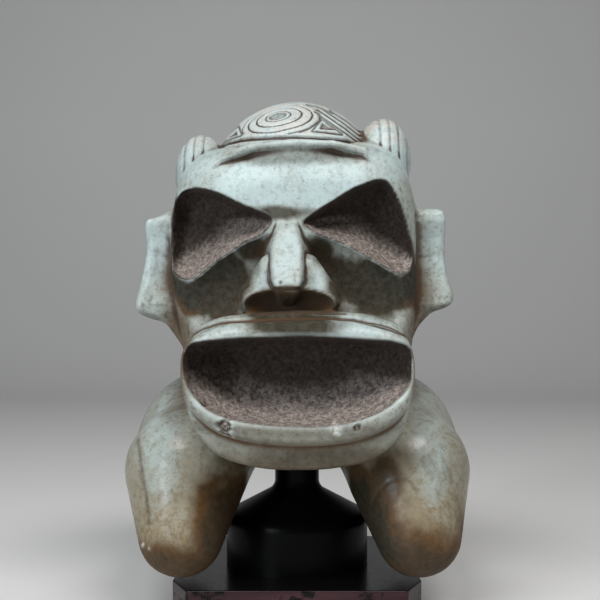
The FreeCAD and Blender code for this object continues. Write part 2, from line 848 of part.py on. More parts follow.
def make_mouth(doc, name, section_shares):
    """The jaws, or the lips that stand out in front of them."""
    root = -cell("mouth_root_front")
    reach = cell("figure_depth") / 2 - cell("mouth_root_front")
    bottom = cell("mouth_bottom_height")
    height = cell("mouth_top_height") - bottom
    sections = []
    for number, (out, wide, low, high, corner) in enumerate(section_shares):
        side = cell("mouth_width") / 2 * wide
        sections.append(section(
            doc, f"{name}_section_{number}", "XZ", root - reach * out, -side, side,
            bottom + height * low, bottom + height * high,
            cell("mouth_low_corner") * (corner * (high - low)),
            cell("mouth_high_corner") * corner,
        ))
    return loft(doc, name, sections)


def make_mouth_hollow(doc):
    """The hollow between the lips, whose first section lies clear in front of them."""
    front = -cell("figure_depth") / 2
    bottom = cell("mouth_hollow_bottom_height")
    height = cell("mouth_hollow_top_height") - bottom
    sections = []
    for number, (deep, wide, low, high, corner) in enumerate(MOUTH_HOLLOW_SHARES):
        side = cell("mouth_hollow_width") / 2 * wide
        sections.append(section(
            doc, f"mouth_hollow_section_{number}", "XZ",
            front + cell("mouth_hollow_depth") * deep, -side, side,
            bottom + height * low, bottom + height * high,
            cell("mouth_hollow_low_corner") * (corner * (high - low)),
            cell("mouth_hollow_high_corner") * corner,
        ))
    return loft(doc, "mouth_hollow", sections)


def make_ear(doc):
    root = cell("ear_root")
    reach = cell("ear_reach") - root
    bottom = cell("ear_bottom_height")
    height = cell("ear_top_height") - bottom
    thickness = cell("ear_thickness")
    corner = cell("ear_corner")
    sections = []
    for number, (up, out, set_back, kept) in enumerate(EAR_SHARES):
        front = thickness * set_back - cell("ear_front")
        back = thickness * kept - cell("ear_front")
        sections.append(section(
            doc, f"ear_section_{number}", "XY", bottom + height * up, root, root + reach * out,
            front, back, corner, corner,
        ))
    return loft(doc, "ear", sections)


def make_nose(doc):
    base = cell("nose_base_height")
    height = cell("nose_top_height") - base
    root = -cell("mouth_root_front")
    sections = []
    for number, (up, wide, out) in enumerate(NOSE_SHARES):
        side = cell("nose_ridge_width") / 2 * wide
        corner = side * NOSE_CORNER_SHARE
        sections.append(section(
            doc, f"nose_section_{number}", "XY", base + height * up, -side, side,
            -cell("nose_reach") * out, root, corner, corner,
        ))
    return loft(doc, "nose", sections)


def make_nose_wing(doc):
    """A wing of the nose, hollowed from below by its nostril."""
    front = -cell("wing_front")
    wing = egg(
        doc, "full_wing", cell("wing_low_radius"), cell("wing_high_radius"),
        (cell("wing_low_side"), front, cell("wing_low_height")),
        (cell("wing_high_side"), front, cell("wing_high_height")),
    )
    nostril = doc.addObject("Part::Sphere", "nostril")
    bind(nostril, Radius=cell("nostril_radius"), Base_x=cell("nostril_side"),
         Base_y=-cell("nostril_front"), Base_z=cell("nostril_height"))
    return cut(doc, "nose_wing", wing, nostril)


def make_eye_hollow(doc):
    """A rounded outline, pointed at the nose, sunk back into the face with leaning walls."""
    sketch = loose_sketch(doc, "eye_outline", "XZ", -cell("head_front"))
    inner, outer = cell("eye_inner_corner"), cell("eye_outer_corner")
    points = [
        (cell("eye_inner_side"), cell("eye_inner_height"), inner),
        (cell("eye_low_side"), cell("eye_low_height"), outer),
        (cell("eye_outer_side"), cell("eye_outer_height"), outer),
        (cell("eye_high_side"), cell("eye_high_height"), outer),
    ]
    rounded_polygon(sketch, points)
    hollow = doc.addObject("Part::Extrusion", "eye_hollow")
    hollow.Base = sketch
    hollow.DirMode = "Normal"
    hollow.Solid = True
    hollow.Reversed = True
    bind(hollow, LengthFwd=cell("eye_depth"), LengthRev=cell("cut_overrun"),
         TaperAngle=-cell("eye_wall_slope"))
    return hollow


def make_cheek_hollow(doc):
    sink = cell("cheek_sink")
    front = -cell("head_front")
    inner = cell("cheek_inner_radius")
    outer = cell("cheek_outer_radius")
    return egg(
        doc, "cheek_hollow", inner, outer,
        (cell("cheek_inner_side"), front - inner + sink, cell("cheek_inner_height")),
        (cell("cheek_outer_side"), front - outer + sink, cell("cheek_outer_height")),
    )


def make_brow_hollow(doc):
    """One half of the shallow hollow across the forehead."""
    return egg(
        doc, "brow_hollow", cell("brow_inner_radius"), cell("brow_outer_radius"),
        (ZERO, -cell("brow_inner_front"), cell("brow_inner_height")),
        (cell("brow_outer_side"), -cell("brow_outer_front"), cell("brow_outer_height")),
    )


def make_leg(doc):
    """The thigh, the widest part of the figure, down to the knee, and the calf behind it."""
    reach = cell("figure_width") / 2
    thigh_side = reach - cell("thigh_radius")
    calf_side = reach - cell("calf_inset") - cell("calf_radius")
    thigh = egg(
        doc, "thigh", cell("thigh_radius"), cell("knee_radius"),
        (thigh_side, -cell("thigh_front"), -cell("thigh_drop")),
        (thigh_side + cell("knee_outset"), -cell("knee_front"), -cell("knee_drop")),
    )
    calf = egg(
        doc, "calf", cell("calf_radius"), cell("heel_radius"),
        (calf_side, cell("calf_back"), -cell("calf_drop")),
        (calf_side, cell("heel_back"), -cell("heel_drop")),
    )
    return [thigh, calf]


def make_trunk(doc):
    """The hunched back and the hips, cut flat at the seat."""
    radius = cell("back_radius")
    half = egg(
        doc, "half_back", radius, cell("hip_radius"),
        (cell("back_side"), cell("figure_depth") / 2 - radius, cell("back_centre_height")),
        (cell("hip_side"), cell("hip_back"), cell("hip_height")),
    )
    back = fused(doc, "back", [half, mirrored(doc, half)])
    reach = cell("hip_side") * 2
    below = doc.addObject("Part::Box", "below_seat")
    bind(below, Length=reach * 2, Width=cell("figure_depth") * 2, Height=radius,
         Base_x=-reach, Base_y=-cell("figure_depth"), Base_z=-radius)
    return cut(doc, "trunk", back, below)


def make_pin_socket(doc):
    socket = doc.addObject("Part::Cylinder", "pin_socket")
    bind(socket, Radius=cell("pin_diameter") / 2 + cell("socket_clearance"),
         Height=cell("pin_reach") + cell("socket_end_gap") + cell("cut_overrun"),
         Base_y=cell("mount_axis_back"), Base_z=-cell("cut_overrun"))
    return socket


def make_figure(doc, seat):
    one_side = [
        make_hair_knot(doc),
        make_ear(doc),
        *make_leg(doc),
    ]
    cheek = make_cheek_hollow(doc)
    brow = make_brow_hollow(doc)
    eye = make_eye_hollow(doc)
    face_hollows = fused(doc, "face_hollows", [
        cheek, mirrored(doc, cheek), brow, mirrored(doc, brow),
    ])
    hollow_head = cut(doc, "hollowed_head", make_head(doc), face_hollows)
    wing = make_nose_wing(doc)
    solids = [hollow_head, make_cap(doc), make_mouth(doc, "jaws", JAW_SHARES),
              make_mouth(doc, "lips", LIP_SHARES), make_trunk(doc), make_nose(doc),
              wing, mirrored(doc, wing)]
    for piece in one_side:
        solids += [piece, mirrored(doc, piece)]
    block = fused(doc, "carved_block", solids)
    hollows = fused(doc, "hollows", [
        eye, mirrored(doc, eye), make_mouth_hollow(doc), make_pin_socket(doc),
    ])
    figure = cut(doc, "zemi_figure", block, hollows)
    bind(figure, Base_z=seat)
    return figure


def check(doc, pieces):
    """Stops with a message if any object failed, or a piece isn't a sound closed solid."""
    for thing in doc.Objects:
        if "Invalid" in thing.State or "Error" in thing.State:
            raise RuntimeError(f"{thing.Name} failed: {thing.State}")
    for piece in pieces:
        shape = piece.Shape
        if shape.isNull() or not shape.isValid() or not shape.Solids:
            raise RuntimeError(f"{piece.Name} isn't a valid solid")
        print(f"{piece.Label}: {len(shape.Solids)} solids, {len(shape.Faces)} faces, "
              f"{shape.Volume / 1000:.1f} cm3")


def main():
    doc = FreeCAD.newDocument("zemi_figure")
    make_sheet(doc)
    plinth_bottom, board_bottom, pedestal_bottom, saddle_bottom, lining_bottom, seat = (
        stack_heights()
    )
    pieces = [
        *make_base(doc, plinth_bottom, board_bottom),
        make_screws(doc, plinth_bottom),
        *make_tie(doc, plinth_bottom, saddle_bottom),
        make_pedestal(doc, pedestal_bottom),
        *make_saddle(doc, saddle_bottom, lining_bottom),
        make_figure(doc, seat),
    ]
    doc.recompute()
    check(doc, pieces)
    os.makedirs("parts", exist_ok=True)
    for piece in pieces:
        piece.Shape.exportStep(f"parts/{piece.Label}.step")


main()
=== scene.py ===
"""Looks for the carved stone zemi figure and its display mount.

The stone is sculpted here as one mesh: a distance field built from the frame's sizes and from
outlines read off the photograph, meshed on a grid, then carved with its fine lines, flutes,
chips and pits. The figure looks along -Y. Lengths are in millimetres while it is sculpted, and
in metres in the finished meshes, materials, lights and camera.
"""

import math

import bpy
import mathutils
import numpy as np
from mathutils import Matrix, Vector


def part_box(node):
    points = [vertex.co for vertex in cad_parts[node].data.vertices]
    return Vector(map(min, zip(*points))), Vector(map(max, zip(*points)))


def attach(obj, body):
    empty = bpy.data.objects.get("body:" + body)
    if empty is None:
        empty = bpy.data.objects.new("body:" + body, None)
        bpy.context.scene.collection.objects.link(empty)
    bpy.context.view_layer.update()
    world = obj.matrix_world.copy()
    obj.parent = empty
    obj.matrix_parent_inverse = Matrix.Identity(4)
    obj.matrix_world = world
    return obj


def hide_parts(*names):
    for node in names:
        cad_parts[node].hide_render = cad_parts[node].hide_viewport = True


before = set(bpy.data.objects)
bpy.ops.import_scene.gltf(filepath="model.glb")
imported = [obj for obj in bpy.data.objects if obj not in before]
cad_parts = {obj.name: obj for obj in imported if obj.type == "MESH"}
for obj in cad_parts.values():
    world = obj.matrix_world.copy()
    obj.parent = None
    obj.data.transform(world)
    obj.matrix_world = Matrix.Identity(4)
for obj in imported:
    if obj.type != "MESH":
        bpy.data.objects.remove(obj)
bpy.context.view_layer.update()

MM = 0.001
TINY = 1e-6
FAR = 1e9

# The photograph's camera: a level view, with its focal length and centre in pixels.
IMAGE_SIDE = 600
FOCAL_PIXELS = 960.0
CENTRE_COLUMN = 297.0
CENTRE_ROW = 300.0
CAMERA_DISTANCE = 755.0
CAMERA_HEIGHT = 239.0


def from_photo(column, row, y):
    """The x and z, in millimetres, of what the photograph shows at a pixel, at a depth y."""
    reach = (CAMERA_DISTANCE + y) / FOCAL_PIXELS
    return (column - CENTRE_COLUMN) * reach, CAMERA_HEIGHT + (CENTRE_ROW - row) * reach


def to_photo(p):
    """The column and row at which points appear, and how many millimetres a pixel spans there."""
    x, y, z = p
    reach = (CAMERA_DISTANCE + y) / FOCAL_PIXELS
    return CENTRE_COLUMN + x / reach, CENTRE_ROW - (z - CAMERA_HEIGHT) / reach, reach


def node_box(name):
    """A CAD node's lowest and highest corners in millimetres."""
    return [np.array(corner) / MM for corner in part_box(name)]


# Distance fields

def length(*parts):
    return np.sqrt(sum(part * part for part in parts))


def blend_union(a, b, k):
    """The union of two fields, with a fillet about k wide where they meet."""
    share = np.clip(0.5 + 0.5 * (b - a) / k, 0, 1)
    return b + (a - b) * share - k * share * (1 - share)


def blend_common(a, b, k):
    """What two fields share, with the edge rounded by about k."""
    return -blend_union(-a, -b, k)


def blend_cut(a, b, k):
    """Field a with field b taken away, and the edge rounded by about k."""
    return -blend_union(-a, b, k)


def rise(value, start, end):
    """A smooth step from 0 at start to 1 at end."""
    share = np.clip((value - start) / (end - start), 0, 1)
    return share * share * (3 - 2 * share)


def fall(value, start, end):
    """A smooth step from 1 at start to 0 at end."""
    return 1 - rise(value, start, end)


def unit(vectors):
    return vectors / np.maximum(np.linalg.norm(vectors, axis=1), TINY)[:, None]


def ellipsoid(p, centre, radii):
    x, y, z = (p[i] - centre[i] for i in range(3))
    near = length(x / radii[0], y / radii[1], z / radii[2])
    slope = length(x / radii[0] ** 2, y / radii[1] ** 2, z / radii[2] ** 2)
    return near * (near - 1) / np.maximum(slope, TINY)


def round_cone(p, start, end, start_radius, end_radius):
    """A big ball and a small one in one tangent skin."""
    start, end = np.array(start, float), np.array(end, float)
    along = end - start
    span = along @ along
    drop = start_radius - end_radius
    kept = span - drop * drop
    place = [c - s for c, s in zip(p, start)]
    up = sum(c * a for c, a in zip(place, along))
    over = up - span
    side = sum((c * span - a * up) ** 2 for c, a in zip(place, along))
    up_square = up * up * span
    over_square = over * over * span
    step = np.sign(drop) * drop * drop * side
    flank = (np.sqrt(side * kept / span) + up * drop) / span - start_radius
    tail = np.sqrt(side + over_square) / span - end_radius
    head = np.sqrt(side + up_square) / span - start_radius
    out = np.where(np.sign(over) * kept * over_square > step, tail, flank)
    return np.where(np.sign(up) * kept * up_square < step, head, out)


def line_gap(p, points):
    """The distance to a line through points, in a plane or in space."""
    gap = FAR
    for a, b in zip(points, points[1:]):
        place = [c - v for c, v in zip(p, a)]
        run = [w - v for v, w in zip(a, b)]
        share = sum(c * r for c, r in zip(place, run)) / max(sum(r * r for r in run), TINY)
        share = np.clip(share, 0, 1)
        gap = np.minimum(gap, length(*(c - share * r for c, r in zip(place, run))))
    return gap


def smooth_loop(points, steps=8):
    """A closed curve through points, as a fine polygon."""
    points = np.array(points, float)
    before, after = np.roll(points, 1, 0), np.roll(points, -1, 0)
    beyond = np.roll(points, -2, 0)
    rows = []
    for t in np.linspace(0, 1, steps, endpoint=False):
        rows.append(0.5 * (
            2 * points + (after - before) * t
            + (2 * before - 5 * points + 4 * after - beyond) * t ** 2
            + (3 * points - before - 3 * after + beyond) * t ** 3
        ))
    return np.stack(rows, 1).reshape(-1, 2)


class FlatShape:
    """The signed distance to a closed outline in a plane, kept on a fine raster."""

    def __init__(self, outline, pitch=0.5, margin=24.0):
        outline = np.array(outline, float)
        self.low = outline.min(0) - margin
        self.pitch = pitch
        count = np.ceil((outline.max(0) + margin - self.low) / pitch).astype(int) + 1
        u = self.low[0] + pitch * np.arange(count[0])[:, None]
        v = self.low[1] + pitch * np.arange(count[1])[None, :]
        inside = np.zeros(count, bool)
        closed = [*outline, outline[0]]
        for a, b in zip(closed, closed[1:]):
            if a[1] != b[1]:
                crossing = a[0] + (v - a[1]) / (b[1] - a[1]) * (b[0] - a[0])
                inside ^= ((a[1] > v) != (b[1] > v)) & (u < crossing)
        self.raster = (line_gap((u, v), closed) * np.where(inside, -1, 1)).astype(np.float32)

    def __call__(self, u, v):
        count = self.raster.shape
        i = np.clip((u - self.low[0]) / self.pitch, 0, count[0] - 1.001)
        j = np.clip((v - self.low[1]) / self.pitch, 0, count[1] - 1.001)
        i0, j0 = i.astype(np.int32), j.astype(np.int32)
        s, t = i - i0, j - j0
        r = self.raster
        return (
            (r[i0, j0] * (1 - s) + r[i0 + 1, j0] * s) * (1 - t)
            + (r[i0, j0 + 1] * (1 - s) + r[i0 + 1, j0 + 1] * s) * t
        )


def photo_shape(pixels, y):
    """The flat shape of an outline read off the photograph, laid in the plane at depth y."""
    return FlatShape(smooth_loop([from_photo(c, r, y) for c, r in pixels]))


class Socket:
    """A hollow whose rim is an outline in the photograph, whatever the depth of the skin there.

    Going in, its section shrinks towards an anchor pixel, so its walls lean as a bowl's do.
    """

    def __init__(self, anchor, pixels, mouth, depth, shrink, corner):
        self.shape = FlatShape(smooth_loop(pixels))
        self.anchor, self.mouth, self.depth = anchor, mouth, depth
        self.shrink, self.corner = shrink, corner

    def __call__(self, p):
        column, row, reach = to_photo(p)
        mouth = self.mouth(p[0])
        deep = np.clip((p[1] - mouth) / self.depth, 0, 1.2)
        scale = 1 - self.shrink[0] * deep - self.shrink[1] * deep * deep
        u = self.anchor[0] + (column - self.anchor[0]) / scale
        v = self.anchor[1] + (row - self.anchor[1]) / scale
        side = self.shape(u, v) * scale * reach
        return blend_common(side, p[1] - mouth - self.depth, self.corner)


class Noise:
    """Smooth random values from a seeded lattice, about -1 to 1, one per unit of length."""

    def __init__(self, seed, side=32):
        self.side = side
        self.lattice = np.random.default_rng(seed).uniform(-1, 1, (side,) * 3).astype(np.float32)

    def __call__(self, p, size):
        scaled = [np.asarray(c, np.float32) / size for c in p]
        floor = [np.floor(c).astype(np.int32) for c in scaled]
        share = [c - f for c, f in zip(scaled, floor)]
        share = [s * s * (3 - 2 * s) for s in share]
        total = 0
        for corner in np.ndindex(2, 2, 2):
            pick = corner[::-1]
            index = tuple((f + k) % self.side for f, k in zip(floor, pick))
            weight = 1
            for s, k in zip(share, pick):
                weight = weight * (s if k else 1 - s)
            total = total + self.lattice[index] * weight
        return total

    def layered(self, p, size, octaves):
        return sum(self(p, size / 2 ** n) / 2 ** n for n in range(octaves))

    def mixed(self, p, parts):
        """The sum of parts, each given by its height, size and octaves."""
        return sum(height * self.layered(p, size, octaves) for height, size, octaves in parts)


# The figure's main sizes, from the frame

STONE_LOW, STONE_HIGH = node_box("zemi_figure")
SEAT = node_box("saddle_lining")[1][2]
PIN_LOW, PIN_HIGH = node_box("locating_pin")

SOCKET_CLEARANCE = 0.3
SOCKET_END_GAP = 2.0

# Head sections from the seat up: height above the seat, half width, front, back. Then how
# round their corners are, in front and at the back.
HEAD_SECTIONS = np.array((
    (-8, 40, -52, 52),
    (4, 50, -62, 62),
    (31, 72, -74, 66),
    (81, 85, -76, 68),
    (131, 91.5, -75, 68),
    (166, 92, -75, 66),
    (196, 90, -75, 62),
    (216, 84, -73, 56),
    (230, 74, -66, 48),
    (243, 58, -50, 34),
), float)
HEAD_CORNERS = (24.0, 50.0)
FACE_CURVE_RADIUS = 230.0
HEAD_TOP = 236.0

# The head sits a little aside on the jaws, and tilts: between what heights, and how far.
LEAN_HEIGHTS = (215.0, 265.0)
LEAN_SHIFT = 2.5
LEAN_SLOPE = 0.035

# Cap: a dome that ends a little below the top of the stone's box, longer in front.
CAP_HALF_WIDTH = 66.5
CAP_HEIGHT = 64.0
CAP_TOP_GAP = 0.5
CAP_CENTRE = (0.0, -3.0, STONE_HIGH[2] - CAP_HEIGHT - CAP_TOP_GAP)
CAP_LENGTHS = (68.0, 53.0)

# The ridge over the forehead, by points from the left knot to the right one.
BROW_RIDGE = (
    (-62, -52, 338.5), (-52, -59, 344.5), (-30, -65.5, 349.5), (-2, -68, 351),
    (28, -66, 350), (50, -60.5, 345.5), (60, -52, 339.5),
)
BROW_RIDGE_RADIUS = 2.8

# Under the ridge the forehead falls in: how far, how far below the ridge that starts and ends,
# and where it fades at the sides and the back.
BROW_FALL = 4.2
BROW_FALL_START, BROW_FALL_END = (1.0, 6.0), (7.0, 30.0)
BROW_FALL_SIDES, BROW_FALL_BACK = (42.0, 66.0), (-45.0, -30.0)

# Knots of hair, by centre and radii: the left one lies a little lower than the right one.
KNOTS = (
    ((-71.0, -14.0, SEAT + 218.5), (20.0, 31.0, 31.0)),
    ((68.0, -14.0, SEAT + 225.0), (22.0, 31.0, 32.0)),
)

# Eyes: the pixels that their walls lean towards, and their rims.
EYE_PIXELS = (
    ((226, 212), (
        (271, 220), (262, 233), (240, 245), (215, 262), (197, 276), (184, 279), (174, 270),
        (171.5, 245), (173, 215), (178, 197), (189, 189), (213, 192), (241, 205), (262, 213),
    )),
    ((358, 206), (
        (304, 222), (318, 211), (333, 202), (350, 191), (368, 183), (382, 180), (391, 186),
        (401, 208), (409, 236), (413, 257), (408, 270), (398, 273), (376, 262), (350, 248),
        (326, 238), (309, 228),
    )),
)
EYE_MOUTH = -78.0
FACE_SIDES, FACE_SIDE_FALL = (66.0, 102.0), 22.0

# Hollows' depth, how their sections shrink going in, and how round their corners are.
EYE_BOWL = (38.0, (0.16, 0.34), 12.0)
MOUTH_BOWL = (44.0, (0.06, 0.32), 14.0)

# Mouth: the rim of its hollow, the lips' outline and the jaws' outline.
MOUTH_PIXELS = (
    (192, 345), (225, 340), (260, 338), (310, 337), (360, 340), (396, 343), (409, 350),
    (411, 366), (409, 385), (397, 400), (379, 412), (355, 421), (325, 426), (285, 426),
    (245, 422), (217, 414), (199, 402), (189, 388), (184, 370), (185, 354),
)
LIP_PIXELS = (
    (188, 343), (210, 329), (240, 323), (300, 320), (360, 323), (396, 331), (412, 345),
    (417, 368), (415, 395), (406, 416), (388, 431), (360, 442), (322, 448), (282, 448),
    (245, 444), (215, 434), (192, 416), (181, 396), (178, 372), (180, 354),
)
JAW_PIXELS = (
    (190, 333), (212, 318), (245, 312), (300, 309), (355, 311), (395, 320), (410, 336),
    (417, 365), (415, 400), (408, 430), (395, 449), (370, 465), (335, 473), (295, 475),
    (258, 472), (222, 462), (202, 447), (188, 424), (180, 395), (179, 360),
)
LIP_PLANE = -114.0
LIP_SIDES, LIP_SIDE_FALL = (60.0, 90.0), 10.0
JAW_PLANE = -99.0
JAW_ROOT = -40.0
JAW_TAPER = 0.12
MOUTH_ANCHOR = (297, 352)
MOUTH_TOP = 225.0

# Ears: their outlines, their slab, and how far their fronts are sunk, by height.
LEFT_EAR_PIXELS = (
    (190, 217), (154, 218), (146, 222), (145, 232), (146, 248), (143, 266), (139, 286),
    (135, 303), (138, 313), (150, 319), (165, 324), (190, 345),
)
RIGHT_EAR_PIXELS = (
    (400, 206), (420, 208), (439, 209), (445, 215), (446, 230), (446, 252), (448, 272),
    (453, 291), (453, 301), (447, 307), (432, 313), (421, 324), (400, 345),
)
EAR_PLANE, EAR_FRONT, EAR_BACK = -30.0, -36.0, 0.0
EAR_DISH = ((205, 222, 236, 246, 258, 272, 286, 299, 308), (9, 5, 2, 3, 6, 7.5, 5, 1, 2))

# Nose: its side outline as y and z, its front and half width by height, and its wings, which
# are pairs of balls in one skin, given by their centres and radii.
NOSE_OUTLINE = (
    (-55, 300), (-74, 297), (-80, 290), (-102, 252), (-103.5, 247), (-100, 245),
    (-78, 235.5), (-55, 231),
)
NOSE_FRONT = ((231, 235.5, 245, 252, 290, 300), (-60, -78, -100, -102, -80, -72))
NOSE_MIDDLE = -6.9
NOSE_HALF_WIDTH = (
    (231, 239, 247, 253, 262, 276, 291, 300), (5.0, 6.0, 8.2, 9.8, 10.6, 10.4, 6.8, 6.6)
)
NOSE_FLARE = ((231, 248, 280, 300), (0.04, 0.10, 0.26, 0.34))
WING_MIDDLE = -5.5
WING = ((12.5, -77.0, 262.5), (23.0, -76.0, 240.0), 9.0, 13.0)
WING_ROOT = ((0.0, -74.0, 246.0), (23.0, -76.0, 240.0), 13.0, 13.0)
NOSTRIL, NOSTRIL_RADII = (0.0, -99.0, 234.0), (36.0, 24.0, 13.5)

# Hollows under the cheek ridges, from the nose outwards.
CHEEK = ((26.0, -94.0, 254.0), (80.0, -86.0, 234.0), 38.0, 30.0)

# Trunk and legs, as such pairs of balls. The left one's x is below zero.
BACK_INSET = 65.0
HALF_BACKS = [
    ((15.0 * side, STONE_HIGH[1] - BACK_INSET, SEAT + 31.0), (78.0 * side, 38.0, SEAT + 16.0),
     62.0, 44.0)
    for side in (-1, 1)
]
THIGHS = (
    ((-83.5, -24.0, SEAT - 9.0), (-84.0, -58.0, SEAT - 49.5), 46.5, 31.0),
    ((84.5, -24.0, SEAT - 9.0), (88.0, -58.0, SEAT - 49.5), 46.5, 31.0),
)
CALVES = [
    ((88.0 * side, 14.0, SEAT - 11.0), (88.0 * side, 12.0, SEAT - 38.0), 40.0, 28.0)
    for side in (-1, 1)
]

# How wide the fillets and the rounded edges are where the forms meet.
FILLET = {
    "head_top": 16.0, "cheek": 4.0, "knot": 6.0, "cap": 3.0, "brow": 4.5,
    "nose_edge": 4.0, "wing_root": 4.0, "nostril": 1.2, "wing": 7.0, "ridge": 2.0,
    "jaw_edge": 13.0, "lip_edge": 12.0, "lip": 2.0, "mouth": 3.0, "mouth_rim": 4.0,
    "ear_edge": 7.0, "ear": 5.0, "eye_rim": 2.4,
    "back": 10.0, "seat_edge": 3.0, "leg": 14.0, "hip": 34.0, "trunk": 6.0,
}


def lean(p):
    """Points of the upper head as they would be if it stood upright and central."""
    x, y, z = p
    share = rise(z, *LEAN_HEIGHTS)
    return [x + LEAN_SHIFT * share, y, z - LEAN_SLOPE * x * share]


def softened(table, reach=12):
    """A table's columns at every millimetre of its first one, with its bends eased."""
    heights = np.arange(table[0, 0] - 3 * reach, table[-1, 0] + 3 * reach)
    weights = np.hanning(2 * reach + 3)[1:-1]
    weights /= weights.sum()
    columns = [heights]
    for column in table.T[1:]:
        known = np.interp(heights, table[:, 0], column)
        padded = np.pad(known, reach, mode="edge")
        columns.append(np.convolve(padded, weights, mode="valid"))
    return np.array(columns)


SOFT_HEAD = softened(HEAD_SECTIONS)


def head_field(p):
    x, y, z = p
    height = z - SEAT
    half, front, back = (np.interp(height, SOFT_HEAD[0], column) for column in SOFT_HEAD[1:])
    front = front + x * x / (2 * FACE_CURVE_RADIUS)
    middle, reach = (front + back) / 2, (back - front) / 2
    corner = np.where(y < middle, *HEAD_CORNERS)
    corner = np.minimum(corner, np.minimum(half, reach) - 1)
    over_x = np.abs(x) - half + corner
    over_y = np.abs(y - middle) - reach + corner
    flat = length(np.maximum(over_x, 0), np.maximum(over_y, 0)) - corner
    flat = flat + np.minimum(np.maximum(over_x, over_y), 0)
    return np.maximum(blend_common(flat, height - HEAD_TOP, FILLET["head_top"]), -height)


def brow_fall(p):
    """How far the forehead falls in under its ridge."""
    ridge_x, _, ridge_z = np.array(BROW_RIDGE).T
    below = np.interp(p[0], ridge_x, ridge_z) - p[2]
    share = rise(below, *BROW_FALL_START) * fall(below, *BROW_FALL_END)
    share = share * fall(np.abs(p[0]), *BROW_FALL_SIDES) * fall(p[1], *BROW_FALL_BACK)
    return BROW_FALL * share


def face_depth(x):
    """How far back the face's skin lies at the level of the eyes."""
    curve = x * x / (2 * FACE_CURVE_RADIUS)
    return EYE_MOUTH + curve + FACE_SIDE_FALL * rise(np.abs(x), *FACE_SIDES)


def lip_depth(x):
    return LIP_PLANE + LIP_SIDE_FALL * rise(np.abs(x), *LIP_SIDES)


nose_shape = FlatShape(NOSE_OUTLINE)
jaw_shape = photo_shape(JAW_PIXELS, JAW_PLANE)
lip_shape = photo_shape(LIP_PIXELS, LIP_PLANE)
ear_shapes = [photo_shape(pixels, EAR_PLANE) for pixels in (LEFT_EAR_PIXELS, RIGHT_EAR_PIXELS)]
eyes = [Socket(anchor, rim, face_depth, *EYE_BOWL) for anchor, rim in EYE_PIXELS]
mouth = Socket(MOUTH_ANCHOR, MOUTH_PIXELS, lip_depth, *MOUTH_BOWL)


def nose_field(p):
    """The ridge, and the wings on both sides, hollowed from below under one arch each."""
    x, y, z = p
    deep = np.maximum(y - np.interp(z, *NOSE_FRONT), 0)
    across = np.abs(x - NOSE_MIDDLE) - np.interp(z, *NOSE_HALF_WIDTH)
    across = across - np.interp(z, *NOSE_FLARE) * deep
    ridge = blend_common(nose_shape(y, z), across, FILLET["nose_edge"])
    moved = [np.abs(x - WING_MIDDLE), y, z]
    wing, root = round_cone(moved, *WING), round_cone(moved, *WING_ROOT)
    wing = blend_union(wing, root, FILLET["wing_root"])
    return ridge, blend_cut(wing, nostril_field(moved), FILLET["nostril"])


def nostril_field(p):
    return ellipsoid([p[0], p[1], np.maximum(p[2], NOSTRIL[2])], NOSTRIL, NOSTRIL_RADII)


def mouth_field(p):
    """The jaws, with the lips in front of them."""
    x, y, z = p
    taper = JAW_TAPER * np.maximum(y - JAW_PLANE, 0)
    jaws = blend_common(jaw_shape(x, z) + taper, JAW_PLANE - y, FILLET["jaw_edge"])
    lips = blend_common(lip_shape(x, z), LIP_PLANE - y, FILLET["lip_edge"])
    return np.maximum(blend_union(jaws, lips, FILLET["lip"]), y - JAW_ROOT)


def ear_field(p, shape):
    x, y, z = p
    front = EAR_FRONT + np.interp(z, *EAR_DISH)
    middle, half = (front + EAR_BACK) / 2, (EAR_BACK - front) / 2
    return blend_common(shape(x, z), np.abs(y - middle) - half, FILLET["ear_edge"])


def cap_field(p):
    long = np.where(p[1] < CAP_CENTRE[1], *CAP_LENGTHS)
    return ellipsoid(p, CAP_CENTRE, (CAP_HALF_WIDTH, long, CAP_HEIGHT))


def upper_head_field(p):
    """The head with its hollows under the cheeks, cap, knots and the ridge over the forehead."""
    p = lean(p)
    d = head_field(p)
    for side in (-1, 1):
        cheek = round_cone([p[0] * side, p[1], p[2]], *CHEEK)
        d = blend_cut(d, cheek, FILLET["cheek"])
    d = d + brow_fall(p)
    for knot in KNOTS:
        d = blend_union(d, ellipsoid(p, *knot), FILLET["knot"])
    d = blend_union(d, cap_field(p), FILLET["cap"])
    return blend_union(d, line_gap(p, BROW_RIDGE) - BROW_RIDGE_RADIUS, FILLET["brow"])


def lower_field(p):
    """The trunk and the folded legs."""
    trunk = legs = FAR
    for half_back in HALF_BACKS:
        trunk = blend_union(trunk, round_cone(p, *half_back), FILLET["back"])
    trunk = blend_common(trunk, SEAT - p[2], FILLET["seat_edge"])
    for thigh, calf in zip(THIGHS, CALVES):
        leg = blend_union(round_cone(p, *thigh), round_cone(p, *calf), FILLET["leg"])
        legs = np.minimum(legs, leg)
    return blend_union(trunk, legs, FILLET["hip"])


def stone_field(p):
    """The signed distance, near enough, to the stone's skin without its fine carving."""
    ridge, wing = nose_field(p)
    d = blend_union(upper_head_field(p), wing, FILLET["wing"])
    d = blend_union(d, ridge, FILLET["ridge"])
    d = blend_union(d, mouth_field(p), FILLET["mouth"])
    for shape in ear_shapes:
        d = blend_union(d, ear_field(p, shape), FILLET["ear"])
    for eye in eyes:
        d = blend_cut(d, eye(p), FILLET["eye_rim"])
    d = blend_cut(d, mouth(p), FILLET["mouth_rim"])
    d = blend_union(d, lower_field(p), FILLET["trunk"])
    return np.maximum(d, -pin_socket_field(p))


def pin_socket_field(p):
    """The round hole in the seat that the locating pin stands in."""
    middle = (PIN_LOW + PIN_HIGH) / 2
    bore = (PIN_HIGH[0] - PIN_LOW[0]) / 2 + SOCKET_CLEARANCE
    return np.maximum(
        length(p[0] - middle[0], p[1] - middle[1]) - bore, p[2] - PIN_HIGH[2] - SOCKET_END_GAP
    )


